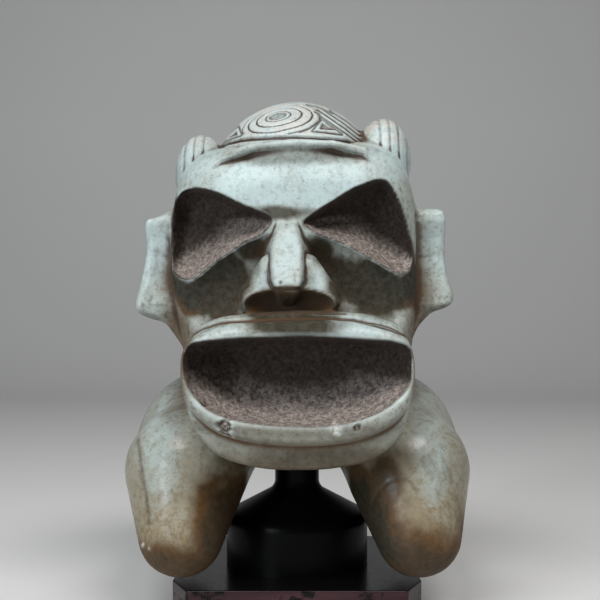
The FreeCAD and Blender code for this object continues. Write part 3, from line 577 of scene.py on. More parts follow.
# Meshing

# Grid pitch along each axis, as places and the pitch there: finest at the face and the cap.
PITCHES = (
    ((-134, 2.4), (-102, 1.9), (-96, 1.2), (96, 1.2), (102, 1.9), (134, 2.4)),
    ((-118, 1.2), (-40, 1.3), (-20, 1.9), (30, 2.6), (118, 2.8)),
    ((35, 2.2), (110, 2.0), (140, 1.4), (200, 1.2), (300, 1.2), (335, 1.0), (348, 0.8),
     (396, 0.8)),
)
GRID_MARGIN = 3
SLAB = 16

# Least square of a slope when points settle, and rounds over which hollows are felt.
LEAST_STEEPNESS = 0.05
CAVITY_ROUNDS, DEEP_CAVITY_ROUNDS = 6, 40


def graded(low, high, pitches, coarser):
    places, steps = np.array(pitches, float).T
    marks = [low]
    while marks[-1] < high:
        marks.append(marks[-1] + coarser * np.interp(marks[-1], places, steps))
    return np.array(marks, np.float32)


def mesh_field(field, low, high, coarser):
    """Points and quads of a field's zero surface, by surface nets on a graded grid."""
    axes = [graded(a, b, pitches, coarser) for a, b, pitches in zip(low, high, PITCHES)]
    shape = tuple(len(a) for a in axes)
    values = np.empty(shape, np.float32)
    for start in range(0, shape[0], SLAB):
        grid = np.meshgrid(axes[0][start:start + SLAB], axes[1], axes[2], indexing="ij")
        values[start:start + SLAB] = field(grid)
    inside = values < 0
    count = np.zeros([n - 1 for n in shape], np.int8)
    corners = list(np.ndindex(2, 2, 2))
    for i, j, k in corners:
        count += inside[i:shape[0] - 1 + i, j:shape[1] - 1 + j, k:shape[2] - 1 + k]
    active = np.nonzero((count > 0) & (count < 8))
    number = np.full(count.shape, -1, np.int32)
    number[active] = np.arange(len(active[0]))
    base = np.stack(active, 1)
    held = {c: values[tuple((base + c).T)] for c in corners}
    total = np.zeros((len(base), 3), np.float32)
    hits = np.zeros(len(base), np.float32)
    for c in corners:
        for axis in np.nonzero(np.equal(c, 0))[0]:
            a, b = held[c], held[tuple(1 if n == axis else v for n, v in enumerate(c))]
            crossed = (a < 0) != (b < 0)
            point = np.tile(np.array(c, np.float32), (len(base), 1))
            point[:, axis] = np.where(crossed, a / np.where(crossed, a - b, 1), 0)
            total += np.where(crossed[:, None], point, 0)
            hits += crossed
    places = base + total / hits[:, None]
    points = np.stack([
        np.interp(places[:, n], np.arange(len(axis)), axis) for n, axis in enumerate(axes)
    ], 1)
    quads = []
    for axis in range(3):
        crossed = np.diff(inside, axis=axis)
        across = [n for n in range(3) if n != axis]
        trimmed = tuple(slice(1, -1) if n in across else slice(None) for n in range(3))
        found = np.stack(np.nonzero(crossed[trimmed]), 1)
        found[:, across] += 1
        ring = []
        for back in ((1, 1), (0, 1), (0, 0), (1, 0)):
            cell = found.copy()
            cell[:, across] -= back
            ring.append(number[tuple(cell.T)])
        quad = np.stack(ring, 1)
        turned = inside[tuple(found.T)] == (axis == 1)
        quad[turned] = quad[turned][:, ::-1]
        quads.append(quad)
    return points, np.concatenate(quads)


def slope_of(field, points, step=0.4):
    """The field's slopes at points."""
    return np.stack([
        field(list((points + move).T)) - field(list((points - move).T))
        for move in step * np.eye(3)
    ], 1) / (2 * step)


def settle(field, points, rounds=3, most=1.0):
    """Moves points along the field's slope onto its zero surface."""
    points = points.copy()
    for _ in range(rounds):
        value, slope = field(list(points.T)), slope_of(field, points)
        steep = np.maximum((slope * slope).sum(1), LEAST_STEEPNESS)
        move = slope * (value / steep)[:, None]
        far = np.linalg.norm(move, axis=1)
        points -= move * np.minimum(1, most / np.maximum(far, TINY))[:, None]
    return points


# Fine carving

# The cap's rings: their middle on the photograph, and their radii.
RING_MIDDLE_PIXEL, RING_MIDDLE_DEPTH = (277.8, 115.8), -47.5
RING_RADII = (6.4, 9.5, 17.5, 25.4)
RING_SQUASH, RING_WANDER = 1.38, (0.5, 9.0, 1)

# Outer rings, each by its radius and the row of the photograph where it ends below.
OUTER_RINGS = ((31.5, 134.0), (38.5, 108.0))

# The pit in the middle and the sunken triangles: where their edges start and end, and how dark
# they are.
PIT_EDGE, PIT_SHADE = (5.4, 6.6), 0.6
TRIANGLE_EDGE, TRIANGLE_SHADE, TRIANGLE_DEPTH = (-0.5, 0.6), 0.8, 1.2
CARVING_SHADE = 0.8

# How near the dome's skin the carving lies, and how far back the carving and its lines reach.
CAP_SKIN, CARVING_BACK, LINES_BACK = 2.0, 52.0, 9.0

# Lines cut in the cap, each by a few pixels of the photograph: first the broad band.
CAP_LINES = (
    ((217, 148), (226, 143), (240, 140), (252, 138.8), (277, 137.1), (304, 138.2), (337, 139.9),
     (350, 141.5), (360, 145)),
    ((238, 125.4), (240, 131), (241, 134.9)),
    ((238, 125.4), (228, 134), (219.4, 143.8)),
    ((241, 134.9), (230, 138.5), (219.4, 143.8)),
    ((231, 128), (222, 138), (217.5, 145)),
    ((319, 116), (331, 125), (343, 133.5)),
    ((312.2, 131), (326, 132.2), (343, 134.5)),
    ((312.2, 130.6), (317, 125), (321.7, 119.6)),
    ((299.4, 132.1), (309.4, 128.2), (318.3, 121)),
    ((315, 111.5), (344, 131.5), (360.5, 143.8)),
    ((318, 109.5), (346, 128.5), (361.7, 141.5)),
    ((323, 109), (345, 123.5), (360, 136)),
    ((330, 110), (347, 121), (360, 132)),
    ((307, 104.5), (318, 106.5), (333, 113)),
)
LINE_HALF_WIDTH, LINE_DEPTH = 0.65, 1.0
BAND_HALF_WIDTH, BAND_DEPTH = 1.2, 1.8

# Sunken triangles of the cap.
CAP_TRIANGLES = (
    ((235.5, 130.5), (236.9, 134.3), (228, 137.2)),
    ((322.2, 121.6), (337, 129.6), (319.6, 128.6)),
    ((318.8, 115.4), (322.5, 117.2), (319, 119.6)),
)

# Flutes of the knots: on their outer sides only, and near their skin.
FLUTE_PITCH, FLUTE_HALF_WIDTH, FLUTE_DEPTH, FLUTE_SHADE = 7.2, 1.0, 0.6, 0.32
FLUTE_SIDE, FLUTE_SKIN = (-9.0, -5.0), (0.6, 2.2)

# Chips: pixel, half width in pixels, depth, how far back they reach, and whether they are pale.
CHIPS = (
    ((226, 427), 10.0, 2.6, -93.0, False),
    ((335, 430), 7.0, 1.8, -93.0, True),
    ((357, 428), 4.2, 1.8, -93.0, False),
    ((204, 403), 4.0, 1.0, -93.0, False),
    ((143, 545), 2.4, 0.2, -40.0, True),
    ((149, 549), 2.0, 0.2, -40.0, True),
    ((281, 282), 2.0, 0.6, -80.0, False),
)
CHIP_CORE = 0.3
CHIP_WANDER = (0.55, 4.0, 2)
CHIP_FLOOR, CHIP_ROUGHNESS = 0.8, (0.35, 2.2, 1)

# Lines cut in the stone below the cap: pixels, half width, depth, how far back, and how dark.
STONE_CUTS = (
    (((191, 336), (202, 329), (218, 323.5), (232, 321.5), (251, 321.7), (275, 321), (301, 320),
      (318, 318.6), (332, 318), (354, 320), (375, 325.7), (392, 330.7), (409, 337)),
     0.8, 0.8, -80.0, 1.0),
    (((256, 314.5), (300, 312.5), (346, 314)), 0.6, 0.4, -84.0, 0.8),
    (((138, 440), (140, 456), (143, 480), (147, 506), (149, 524)), 1.2, 0.6, 20.0, 0.6),
    (((372, 505), (378, 492), (388, 482), (400, 478), (410, 482), (416, 491)),
     1.0, 0.3, 20.0, 0.4),
)
CUT_SLOPES = (-0.2, 0.2)

# Creases are rusty round the mouth: how far back and how high that fades.
RUST_BACK, RUST_TOP = (-84.0, -74.0), (232.0, 240.0)

# Unevenness of the hollows and of the skin: height, size and octaves of each part.
HOLLOW_ROUGHNESS = ((0.8, 5.5, 2), (0.5, 2.2, 1))
SKIN_SWELL = ((0.35, 31.0, 2), (0.10, 6.0, 1))

# The hollows: how near their skin they are felt, how far in they are painted dark as shade and
# turn rough, and which slopes count as their floor, painted paler as lit.
HOLLOW_SKIN = (0.8, 2.6)
HOLLOW_SHADE_DEEPENS, HOLLOW_ROUGHENS = (0.3, 2.3), (1.0, 9.0)
LIT_FLOOR_SLOPES = (0.0, 0.7)
BOX_MARGIN = 0.2

stone_noise = Noise(3)


def trough(gap, half_width):
    """1 in the middle of a groove, 0 beyond its sides."""
    return fall(np.abs(gap), 0, 2 * half_width)


def cap_carving(points):
    """Depth of the cap's carving at points, and how dark it is."""
    p = list(points.T)
    column, row, reach = to_photo(p)
    on_cap = (np.abs(cap_field(lean(p))) < CAP_SKIN) & (p[1] < CARVING_BACK)
    front = p[1] < LINES_BACK
    depth, dark = np.zeros((2, len(points)))

    def sink(share, deep, shade=1.0):
        np.maximum(depth, share * deep, out=depth)
        np.maximum(dark, share * shade, out=dark)

    for number, line in enumerate(CAP_LINES):
        half, deep = (LINE_HALF_WIDTH, LINE_DEPTH) if number else (BAND_HALF_WIDTH, BAND_DEPTH)
        gap = line_gap((column, row), line) * reach
        sink(trough(np.where(front, gap, FAR), half), deep)
    x, z = from_photo(*RING_MIDDLE_PIXEL, RING_MIDDLE_DEPTH)
    along = length(p[1] - RING_MIDDLE_DEPTH, p[2] - z)
    far = length(p[0] - x, RING_SQUASH * along) + stone_noise.mixed(p, [RING_WANDER])
    gap = np.min([np.abs(far - r) for r in RING_RADII], 0)
    for radius, lowest in OUTER_RINGS:
        gap = np.minimum(gap, np.where(row < lowest, np.abs(far - radius), FAR))
    sink(trough(gap, LINE_HALF_WIDTH), LINE_DEPTH)
    sink(fall(far, *PIT_EDGE), LINE_DEPTH, PIT_SHADE)
    for corners in CAP_TRIANGLES:
        inside = np.where(front, FlatShape(corners, 0.1, 3.0)(column, row) * reach, FAR)
        sink(fall(inside, *TRIANGLE_EDGE), TRIANGLE_DEPTH, TRIANGLE_SHADE)
    return np.where(on_cap, depth, 0), np.where(on_cap, CARVING_SHADE * dark, 0)


def knot_carving(points):
    """The flutes of the knots at points: 1 in their middles."""
    p = lean(list(points.T))
    depth = np.zeros(len(points))
    for centre, radii in KNOTS:
        on_knot = fall(np.abs(ellipsoid(p, centre, radii)), *FLUTE_SKIN)
        on_knot = on_knot * rise(np.sign(centre[0]) * (p[0] - centre[0]), *FLUTE_SIDE)
        offset = (p[0] - centre[0]) / FLUTE_PITCH + 0.5
        gap = np.abs(offset - np.round(offset)) * FLUTE_PITCH
        depth = np.maximum(depth, trough(gap, FLUTE_HALF_WIDTH) * on_knot)
    return depth


# Zones worn pale, stained, and stained brown, in a flat view from the front: the middle's x and
# z, half width and half height, strength, and how far back the zone reaches. Two pale zones are
# painted glints, and many stained zones are painted shade. A stain stronger than 1 is darker
# still, as dirt and painted shade.
WEAR_AND_GLINT_ZONES = (
    ((-2, 322), (84, 30), 0.86, -20),
    ((-6, 268), (12, 30), 0.7, -70),
    ((-25, 253), (9, 12), 0.68, -70),
    ((15, 253), (11, 13), 0.7, -70),
    ((-52, 221), (28, 9), 0.62, -80),
    ((40, 221), (34, 10), 0.8, -80),
    ((0, 155), (84, 9), 0.2, -90),
    ((20, 130), (50, 8), 0.2, -70),
    ((-112, 275), (26, 40), 0.72, 10),
    ((112, 285), (24, 44), 0.72, 10),
    ((0, 378), (76, 32), 1.0, 60),
    ((74, 352), (30, 34), 0.85, 20),
    ((-72, 346), (30, 34), 0.7, 20),
    # Painted glints: pale streaks down the fronts of the legs.
    ((-99, 130), (16, 50), 0.48, 20),
    ((96, 130), (14, 48), 0.46, 20),
)
STAIN_AND_SHADE_ZONES = (
    # Cheek hollows: olive stain and painted shade under the cheek ridges.
    ((-68, 252), (37, 28), 2.4, -45),
    ((68, 252), (38, 25), 2.4, -45),
    # Painted shadow of the brow at the nose's root, with some stain.
    ((-10, 301), (24, 5), 0.9, -50),
    # The cheeks beside the nose and above the lips: olive stain and painted shade.
    ((-34, 276), (13, 11), 1.2, -45),
    ((17, 274), (10, 12), 1.2, -45),
    ((-62, 237), (28, 8), 1.5, -45),
    ((66, 237), (30, 8), 1.5, -45),
    # Painted shade on the right leg's inner side.
    ((62, 104), (14, 26), 1.3, 60),
    # Painted shadow of the nose on the upper lip, over olive stain, and painted shade between
    # nose and lip.
    ((-4, 224), (31, 12), 1.25, -90),
    ((-6, 230), (40, 5), 1.3, -85),
    ((-5, 236), (42, 11), 1.6, -60),
    # Painted shade under the brow ridge, with some dirt.
    ((-4, 343), (56, 7), 0.5, -40),
    ((18, 126), (64, 14), 0.78, -60),
    ((0, 152), (84, 6), 0.48, -90),
    ((-84, 38), (60, 34), 1.4, 60),
    ((88, 42), (60, 44), 1.6, 60),
    ((-90, 205), (18, 50), 0.85, 0),
    ((92, 205), (18, 50), 0.7, 0),
    ((30, 252), (12, 20), 1.2, -45),
    # Painted shade on the legs' inner sides, by the pedestal.
    ((-50, 76), (26, 42), 1.7, 60),
    ((46, 76), (34, 42), 2.3, 60),
)
BROWN_ZONES = (
    ((-90, 200), (22, 70), 1.4, 20),
    ((92, 200), (22, 70), 1.3, 20),
    ((-6, 238), (36, 9), 1.4, -60),
    ((112, 246), (26, 12), 1.0, 20),
    ((-110, 243), (26, 8), 1.0, 20),
)
ZONE_EDGE, ZONE_BACK_FADE = (0.45, 1.35), 25.0
ZONE_WANDER = (0.28, 26.0, 4)

# Beside the zones, the stone is worn paler with height and stained low down; its undersides get
# painted shade, brown low down, and the arch under the nose gets painted shade over brown stain.
# Stain and painted shade hide wear.
WORN_LEAST, WORN_MORE, WORN_HEIGHTS = 0.10, 0.25, (90.0, 260.0)
UNDER_SHADE_AND_STAIN, UNDER_SLOPES = 0.5, (0.15, 0.8)
LOW_STAIN, LOW_HEIGHTS = 0.2, (45.0, 120.0)
ARCH_SHADE_AND_STAIN, ARCH_SKIN = 1.6, (0.8, 2.5)
ARCH_BACK, ARCH_SIDE, ARCH_LOW = (-66.0, -60.0), (33.0, 37.0), (228.0, 232.0)
BROWN_HEIGHTS = (105.0, 118.0)
STAIN_AND_SHADE_HIDE = 0.7


def tones(p, normal):
    """How far the stone is worn pale or painted with glints, stained or painted with shade,
    stained brown, and darker still as dirt and painted shade, at each point.
    """
    x, y, z = p
    worn_and_glint = WORN_LEAST + WORN_MORE * rise(z, *WORN_HEIGHTS)
    # Undersides are painted with shade, brown low down.
    under = rise(-normal[:, 2], *UNDER_SLOPES)
    stain_and_shade = UNDER_SHADE_AND_STAIN * under + LOW_STAIN * fall(z, *LOW_HEIGHTS)
    moved = [np.abs(x - WING_MIDDLE), y, z]
    # The arch under the nose: brown stain and painted shade.
    arch = fall(np.abs(nostril_field(moved)), *ARCH_SKIN) * fall(y, *ARCH_BACK)
    arch = arch * fall(moved[0], *ARCH_SIDE) * rise(z, *ARCH_LOW)
    stain_and_shade = np.maximum(stain_and_shade, ARCH_SHADE_AND_STAIN * arch)
    brown = np.maximum(arch, under * fall(z, *BROWN_HEIGHTS))
    wander = stone_noise.mixed(p, [ZONE_WANDER])
    found = [worn_and_glint, stain_and_shade, brown]
    for number, zones in enumerate((WEAR_AND_GLINT_ZONES, STAIN_AND_SHADE_ZONES, BROWN_ZONES)):
        for (u, v), (wide, high), strength, back in zones:
            far = length((x - u) / wide, (z - v) / high) + wander
            share = strength * fall(far, *ZONE_EDGE) * fall(y, back, back + ZONE_BACK_FADE)
            found[number] = np.maximum(found[number], share)
    # Stain above 1 is darkened further: dirt, and painted shade in the cheeks, under the nose and
    # on the legs' inner sides.
    dirt_and_shade = found[1] - 1
    worn_and_glint, stain_and_shade, brown, dirt_and_shade = [np.clip(values, 0, 1) for values in (*found, dirt_and_shade)]
    worn_and_glint = worn_and_glint * (1 - STAIN_AND_SHADE_HIDE * stain_and_shade)
    return {"worn_and_glint": worn_and_glint, "stain_and_shade": stain_and_shade, "brown": brown, "dirt_and_shade": dirt_and_shade}


def carve(points):
    """Points with the fine carving cut in, and masks of what shows at each."""
    p = list(points.T)
    normal = unit(slope_of(stone_field, points))
    column, row, reach = to_photo(p)
    lines, dark = cap_carving(points)
    flutes = knot_carving(points)
    hollow = np.max([fall(np.abs(bowl(p)), *HOLLOW_SKIN) for bowl in (*eyes, mouth)], 0)
    inward = p[1] - np.where(p[2] > MOUTH_TOP, face_depth(p[0]), lip_depth(p[0]))
    rough = hollow * rise(inward, *HOLLOW_ROUGHENS) * stone_noise.mixed(p, HOLLOW_ROUGHNESS)
    cut = lines + FLUTE_DEPTH * flutes - rough - stone_noise.mixed(p, SKIN_SWELL)
    chipped, flaked = np.zeros((2, len(points)))
    for (u, v), half, depth, back, pale in CHIPS:
        far = length(column - u, row - v) + half * stone_noise.mixed(p, [CHIP_WANDER])
        share = fall(far, CHIP_CORE * half, half) * (p[1] < back)
        cut = cut + depth * share * (CHIP_FLOOR + stone_noise.mixed(p, [CHIP_ROUGHNESS]))
        seen = flaked if pale else chipped
        np.maximum(seen, share, out=seen)
    for line, half, depth, back, shade in STONE_CUTS:
        share = trough(line_gap((column, row), line) * reach, half)
        share = share * (p[1] < back) * rise(-normal[:, 1], *CUT_SLOPES)
        cut = cut + depth * share
        dark = np.maximum(dark, shade * share)
    moved = points - normal * cut[:, None]
    moved = np.clip(moved, STONE_LOW + BOX_MARGIN, STONE_HIGH - BOX_MARGIN)
    # Deeper in, the hollows are painted dark as shade.
    hollow = hollow * rise(inward, *HOLLOW_SHADE_DEEPENS)
    masks = {
        "lines": np.maximum(dark, FLUTE_SHADE * flutes),
        "hollow": hollow,
        "chipped": chipped,
        "flaked": flaked,
        # Up-facing floors of the hollows are painted paler, as lit.
        "floor": hollow * rise(normal[:, 2], *LIT_FLOOR_SLOPES),
        "rust": fall(p[1], *RUST_BACK) * fall(p[2], *RUST_TOP),
    }
    return moved, {**masks, **tones(p, normal)}


def hollowness(points, faces, rounds):
    """The skin's mean curvature per millimetre, over rings of neighbours: above 0 in hollows."""
    a, b = np.concatenate([faces[:, (n, (n + 1) % 4)] for n in range(4)]).T

    def gathered(at_a, at_b):
        return np.bincount(a, at_a, len(points)) + np.bincount(b, at_b, len(points))

    def around(values):
        return gathered(values[b], values[a])

    count = around(np.ones(len(points)))
    soft = points
    for _ in range(rounds):
        soft = np.stack([around(column) for column in soft.T], 1) / count[:, None]
    run = ((points[a] - points[b]) ** 2).sum(1)
    square = gathered(run, run) / count
    for _ in range(rounds):
        square = around(square) / count
    corner = points[faces]
    ahead = np.cross(corner[:, 2] - corner[:, 0], corner[:, 3] - corner[:, 1])
    normal = np.zeros_like(points)
    for n in range(4):
        np.add.at(normal, faces[:, n], ahead)
    return ((soft - points) * unit(normal)).sum(1) * 2 / (rounds * square)


def stone_mesh():
    """The stone's points and quads, and its masks."""
    low, high = STONE_LOW - GRID_MARGIN, STONE_HIGH + GRID_MARGIN
    points, quads = mesh_field(stone_field, low, high, 1.0)
    points = settle(stone_field, points)
    points, masks = carve(points)
    masks["cavity"] = hollowness(points, quads, CAVITY_ROUNDS)
    masks["deep_cavity"] = hollowness(points, quads, DEEP_CAVITY_ROUNDS)
    return points, quads, masks


def make_object(name, points, faces):
    """A smooth mesh object, in metres, of points in millimetres."""
    mesh = bpy.data.meshes.new(name)
    mesh.from_pydata((points * MM).tolist(), [], faces.tolist())
    mesh.update()
    mesh.polygons.foreach_set("use_smooth", np.ones(len(mesh.polygons), bool))
    made = bpy.data.objects.new(name, mesh)
    bpy.context.scene.collection.objects.link(made)
    return made


# Materials

class Shader:
    """One material's node tree, built up by short calls."""

    def __init__(self, name):
        self.material = bpy.data.materials.new(name)
        self.material.use_nodes = True
        self.tree = self.material.node_tree
        self.skin = self.tree.nodes["Principled BSDF"]

    def feed(self, socket, value):
        if isinstance(value, bpy.types.NodeSocket):
            self.tree.links.new(value, socket)
        else:
            socket.default_value = (*value, 1.0) if socket.type == "RGBA" else value

    def node(self, kind, inputs=None, **settings):
        made = self.tree.nodes.new(kind)
        for name, value in settings.items():
            setattr(made, name, value)
        for name, value in (inputs or {}).items():
            self.feed(made.inputs[name], value)
        return made

    def place(self):
        return self.node("ShaderNodeTexCoord").outputs["Object"]

    def attribute(self, name):
        return self.node("ShaderNodeAttribute", attribute_name=name).outputs["Fac"]

    def height(self, low, high, start=0.0, end=1.0):
        """The first value at one height of the object, the second at another."""
        parts = self.node("ShaderNodeSeparateXYZ", {"Vector": self.place()})
        return self.span(parts.outputs["Z"], low, high, start, end)

    def noise(self, scale, detail=4.0, roughness=0.55, distortion=0.0, place=None):
        made = self.node("ShaderNodeTexNoise", {
            "Vector": place or self.place(), "Scale": scale, "Detail": detail,
            "Roughness": roughness, "Distortion": distortion,
        })
        return made.outputs["Fac"]

    def stretch(self, factors, turn=(0.0, 0.0, 0.0)):
        made = self.node("ShaderNodeMapping", {
            "Vector": self.place(), "Scale": factors, "Rotation": turn,
        })
        return made.outputs["Vector"]

    def span(self, value, low, high, start=0.0, end=1.0):
        """A value's range low to high, stretched over start to end, and kept within it."""
        made = self.node("ShaderNodeMapRange", {
            "Value": value, "From Min": low, "From Max": high, "To Min": start, "To Max": end,
        })
        return made.outputs["Result"]

    def maths(self, operation, a, b):
        made = self.node("ShaderNodeMath", {0: a, 1: b}, operation=operation, use_clamp=True)
        return made.outputs[0]

    def plus(self, a, b):
        return self.maths("ADD", a, b)

    def times(self, a, b):
        return self.maths("MULTIPLY", a, b)

    def mix(self, share, a, b):
        return self.node("ShaderNodeMix", {0: share, 6: a, 7: b}, data_type="RGBA").outputs[2]

    def bump(self, height, strength, distance, before=None):
        inputs = {"Height": height, "Strength": strength, "Distance": distance}
        if before:
            inputs["Normal"] = before
        return self.node("ShaderNodeBump", inputs).outputs["Normal"]

    def finish(self, colour, roughness, **sockets):
        for name, value in {"Base_Color": colour, "Roughness": roughness, **sockets}.items():
            self.feed(self.skin.inputs[name.replace("_", " ")], value)
        return self.material


STONE_PALE = (0.45, 0.56, 0.57)
STONE_GREY = (0.315, 0.320, 0.275)
STONE_DARK = (0.020, 0.017, 0.010)
STONE_TAN = (0.235, 0.180, 0.100)
STONE_DUST = (0.600, 0.510, 0.450)
STONE_OLIVE = (0.030, 0.024, 0.012)
STONE_BROWN = (0.092, 0.044, 0.013)
STONE_LINE = (0.048, 0.030, 0.024)
STONE_RUST = (0.060, 0.034, 0.019)
# Pale edge tone: rubbed wear and painted highlight on rims, and pale flakes.
STONE_EDGE_WEAR_AND_HIGHLIGHT = (0.56, 0.65, 0.65)
# Hollow walls, painted dark as shade, then the hollows' up-facing floors, painted paler as lit.
HOLLOW_SHADE_DARK = (0.014, 0.009, 0.006)
HOLLOW_SHADE_GREY = (0.054, 0.041, 0.034)
LIT_FLOOR_DARK = (0.100, 0.080, 0.072)
LIT_FLOOR_PALE = (0.35, 0.295, 0.265)
CREAM = (0.60, 0.55, 0.48)


def stone_material(names):
    """Worn, dusty and stained stone with painted shade and highlights, laid out by the masks of
    these names.
    """
    m = Shader("stone")
    mask = {name: m.attribute(name) for name in names}
    clouds = m.noise(16.0, 5.0, 0.6)
    mottle = m.noise(75.0, 6.0, 0.68, 0.4)
    grain = m.noise(230.0, 5.0, 0.72)
    grit = m.noise(330.0, 5.0, 0.7)
    specks = m.noise(700.0, 2.0, 0.6)
    streaks = m.noise(60.0, 6.0, 0.6, 0.8, m.stretch((1.6, 1.6, 0.35), (0.0, 0.35, 0.0)))
    # Pale wear, and the painted glints on the legs.
    worn_and_glint = m.plus(mask["worn_and_glint"], m.span(clouds, 0.35, 0.7, -0.08, 0.14))
    worn_and_glint = m.maths("SUBTRACT", worn_and_glint, m.span(mottle, 0.48, 0.76, 0.0, 0.16))
    worn_and_glint = m.maths("SUBTRACT", worn_and_glint, m.span(grain, 0.46, 0.66, 0.0, 0.26))
    dusty = m.times(m.height(0.348, 0.362), m.span(mottle, 0.4, 0.6, 0.1, 0.55))
    blotch = m.times(m.span(grain, 0.50, 0.66), m.height(0.12, 0.2, 0.22, 0.5))
    blotch = m.times(blotch, m.span(mask["worn_and_glint"], 0.2, 0.8, 1.0, 0.35))
    brown = m.maths("MAXIMUM", mask["brown"], m.height(0.16, 0.09))
    # Patina: olive and brown stain, darkened further as painted shade where dirt_and_shade is
    # high.
    patina_and_shade = m.mix(brown, STONE_OLIVE, STONE_BROWN)
    patina_and_shade = m.mix(m.span(mottle, 0.45, 0.65, 0.0, 0.5), patina_and_shade, STONE_DARK)
    patina_and_shade = m.mix(mask["dirt_and_shade"], patina_and_shade, STONE_DARK)
    stain_and_shade = m.times(mask["stain_and_shade"], m.span(grain, 0.3, 0.62, 0.90, 1.0))
    # Convex edges and rims painted paler: partly rubbed wear, partly painted highlight.
    edge = m.span(mask["brown"], 0.0, 1.0, 0.7, 0.0)
    edge = m.times(m.span(mask["cavity"], -0.07, -0.22), edge)
    # Creases darkened by curvature: partly dirt, partly painted shade.
    crease_dirt_and_shade = m.times(m.span(mask["cavity"], 0.02, 0.10), m.span(mottle, 0.3, 0.6, 0.5, 0.95))
    crease = m.mix(mask["rust"], STONE_LINE, STONE_RUST)
    lines = m.times(mask["lines"], m.span(grain, 0.3, 0.6, 0.7, 1.0))
    # Hollow floors: painted paler as lit, with grit and pale specks.
    floor = m.mix(m.span(grit, 0.40, 0.66), LIT_FLOOR_DARK, LIT_FLOOR_PALE)
    floor = m.mix(m.span(specks, 0.62, 0.70), floor, CREAM)
    # Hollow walls: painted shade, with grit.
    hollow = m.mix(m.span(grit, 0.35, 0.65), HOLLOW_SHADE_DARK, HOLLOW_SHADE_GREY)
    hollow = m.mix(mask["floor"], hollow, floor)
    layers = (
        (worn_and_glint, STONE_PALE),
        (dusty, STONE_DUST),
        (blotch, STONE_DARK),
        (stain_and_shade, patina_and_shade),
        (m.span(streaks, 0.56, 0.72, 0.0, 0.3), STONE_DARK),
        (edge, STONE_EDGE_WEAR_AND_HIGHLIGHT),
        (crease_dirt_and_shade, crease),
        # Broad hollows darkened brown and rust: partly stain, partly painted shade.
        (m.span(mask["deep_cavity"], 0.008, 0.045, 0.0, 0.62),
         m.mix(mask["rust"], STONE_RUST, STONE_BROWN)),
        (lines, crease),
        (mask["hollow"], hollow),
        (mask["chipped"], m.mix(m.span(grit, 0.5, 0.62), STONE_LINE, STONE_GREY)),
        (mask["flaked"], m.mix(m.span(grit, 0.4, 0.6), CREAM, STONE_EDGE_WEAR_AND_HIGHLIGHT)),
        (m.span(specks, 0.64, 0.72, 0.0, 0.6), STONE_LINE),
    )
    colour = m.mix(m.height(0.17, 0.07), STONE_GREY, STONE_TAN)
    for share, over in layers:
        colour = m.mix(share, colour, over)
    rough = m.plus(m.span(grain, 0.3, 0.7, 0.24, 0.34), m.height(0.14, 0.24, 0.0, 0.14))
    rough = m.plus(rough, m.height(0.10, 0.06, 0.0, 0.35))
    matt = m.times(mask["stain_and_shade"], m.height(0.12, 0.2, 0.1, 0.75))
    rough = m.plus(rough, m.maths("MAXIMUM", mask["hollow"], matt))
    rough = m.span(rough, 0.0, 1.0, 0.0, 0.88)
    coarse = m.times(grit, m.span(mask["hollow"], 0.0, 1.0, 0.12, 1.2))
    normal = m.bump(mottle, 0.14, 0.0010, m.bump(coarse, 0.6, 0.0009))
    return m.finish(colour, rough, Normal=normal, Specular_IOR_Level=0.28)


def brush_marks(m):
    """Faint marks in the lacquer, along the boards."""
    return m.noise(38.0, 4.0, 0.55, 0.2, m.stretch((0.35, 2.6, 2.6)))


def lacquer(name, colour, chip_colour, chip_share, roughness, shine):
    m = Shader(name)
    grain = brush_marks(m)
    chips = m.span(m.noise(55.0, 7.0, 0.7, 0.5), chip_share, chip_share + 0.03)
    made = m.mix(m.span(grain, 0.3, 0.7), colour, tuple(0.7 * c for c in colour))
    made = m.mix(chips, made, chip_colour)
    rough = m.span(m.noise(300.0, 3.0), 0.3, 0.7, roughness, roughness + 0.08)
    rough = m.plus(rough, m.times(chips, 0.2))
    normal = m.bump(chips, 0.2, -0.0003, m.bump(grain, 0.08, 0.0005))
    return m.finish(made, rough, Normal=normal, Specular_IOR_Level=shine)


def board_lacquer(colour, edge_colour):
    """Black on top and maroon on the edges, where the black has worn through in patches."""
    m = Shader("board_lacquer")
    facing = m.node("ShaderNodeSeparateXYZ", {
        "Vector": m.node("ShaderNodeTexCoord").outputs["Normal"],
    })
    patches = m.span(m.noise(42.0, 6.0, 0.65, 0.4), 0.52, 0.56)
    edge = m.mix(patches, edge_colour, colour)
    grain = brush_marks(m)
    edge = m.mix(m.span(grain, 0.4, 0.6, 0.0, 0.4), edge, colour)
    made = m.mix(m.span(facing.outputs["Z"], 0.6, 0.9), edge, colour)
    rough = m.span(m.noise(300.0, 3.0), 0.3, 0.7, 0.16, 0.26)
    return m.finish(made, rough, Normal=m.bump(grain, 0.06, 0.0004), Specular_IOR_Level=0.16)


def fibre(name, colour, light, scale):
    m = Shader(name)
    lint = m.noise(scale, 5.0, 0.7)
    made = m.mix(m.span(lint, 0.3, 0.7), colour, light)
    return m.finish(made, 0.9, Normal=m.bump(lint, 0.5, 0.0006), Sheen_Weight=0.2)


def steel(name, colour, roughness, metallic):
    m = Shader(name)
    brushed = m.noise(260.0, 3.0, 0.6, 0.0, m.stretch((1.0, 1.0, 0.06)))
    made = m.mix(m.span(brushed, 0.3, 0.7), colour, tuple(0.8 * c for c in colour))
    rough = m.span(brushed, 0.3, 0.7, roughness, roughness + 0.12)
    return m.finish(made, rough, Normal=m.bump(brushed, 0.1, 0.0002), Metallic=metallic)


def dress(name, material):
    """Gives a CAD piece its material."""
    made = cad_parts[name]
    if not made.material_slots:
        made.data.materials.append(material)
    for slot in made.material_slots:
        slot.material = material


# The stone

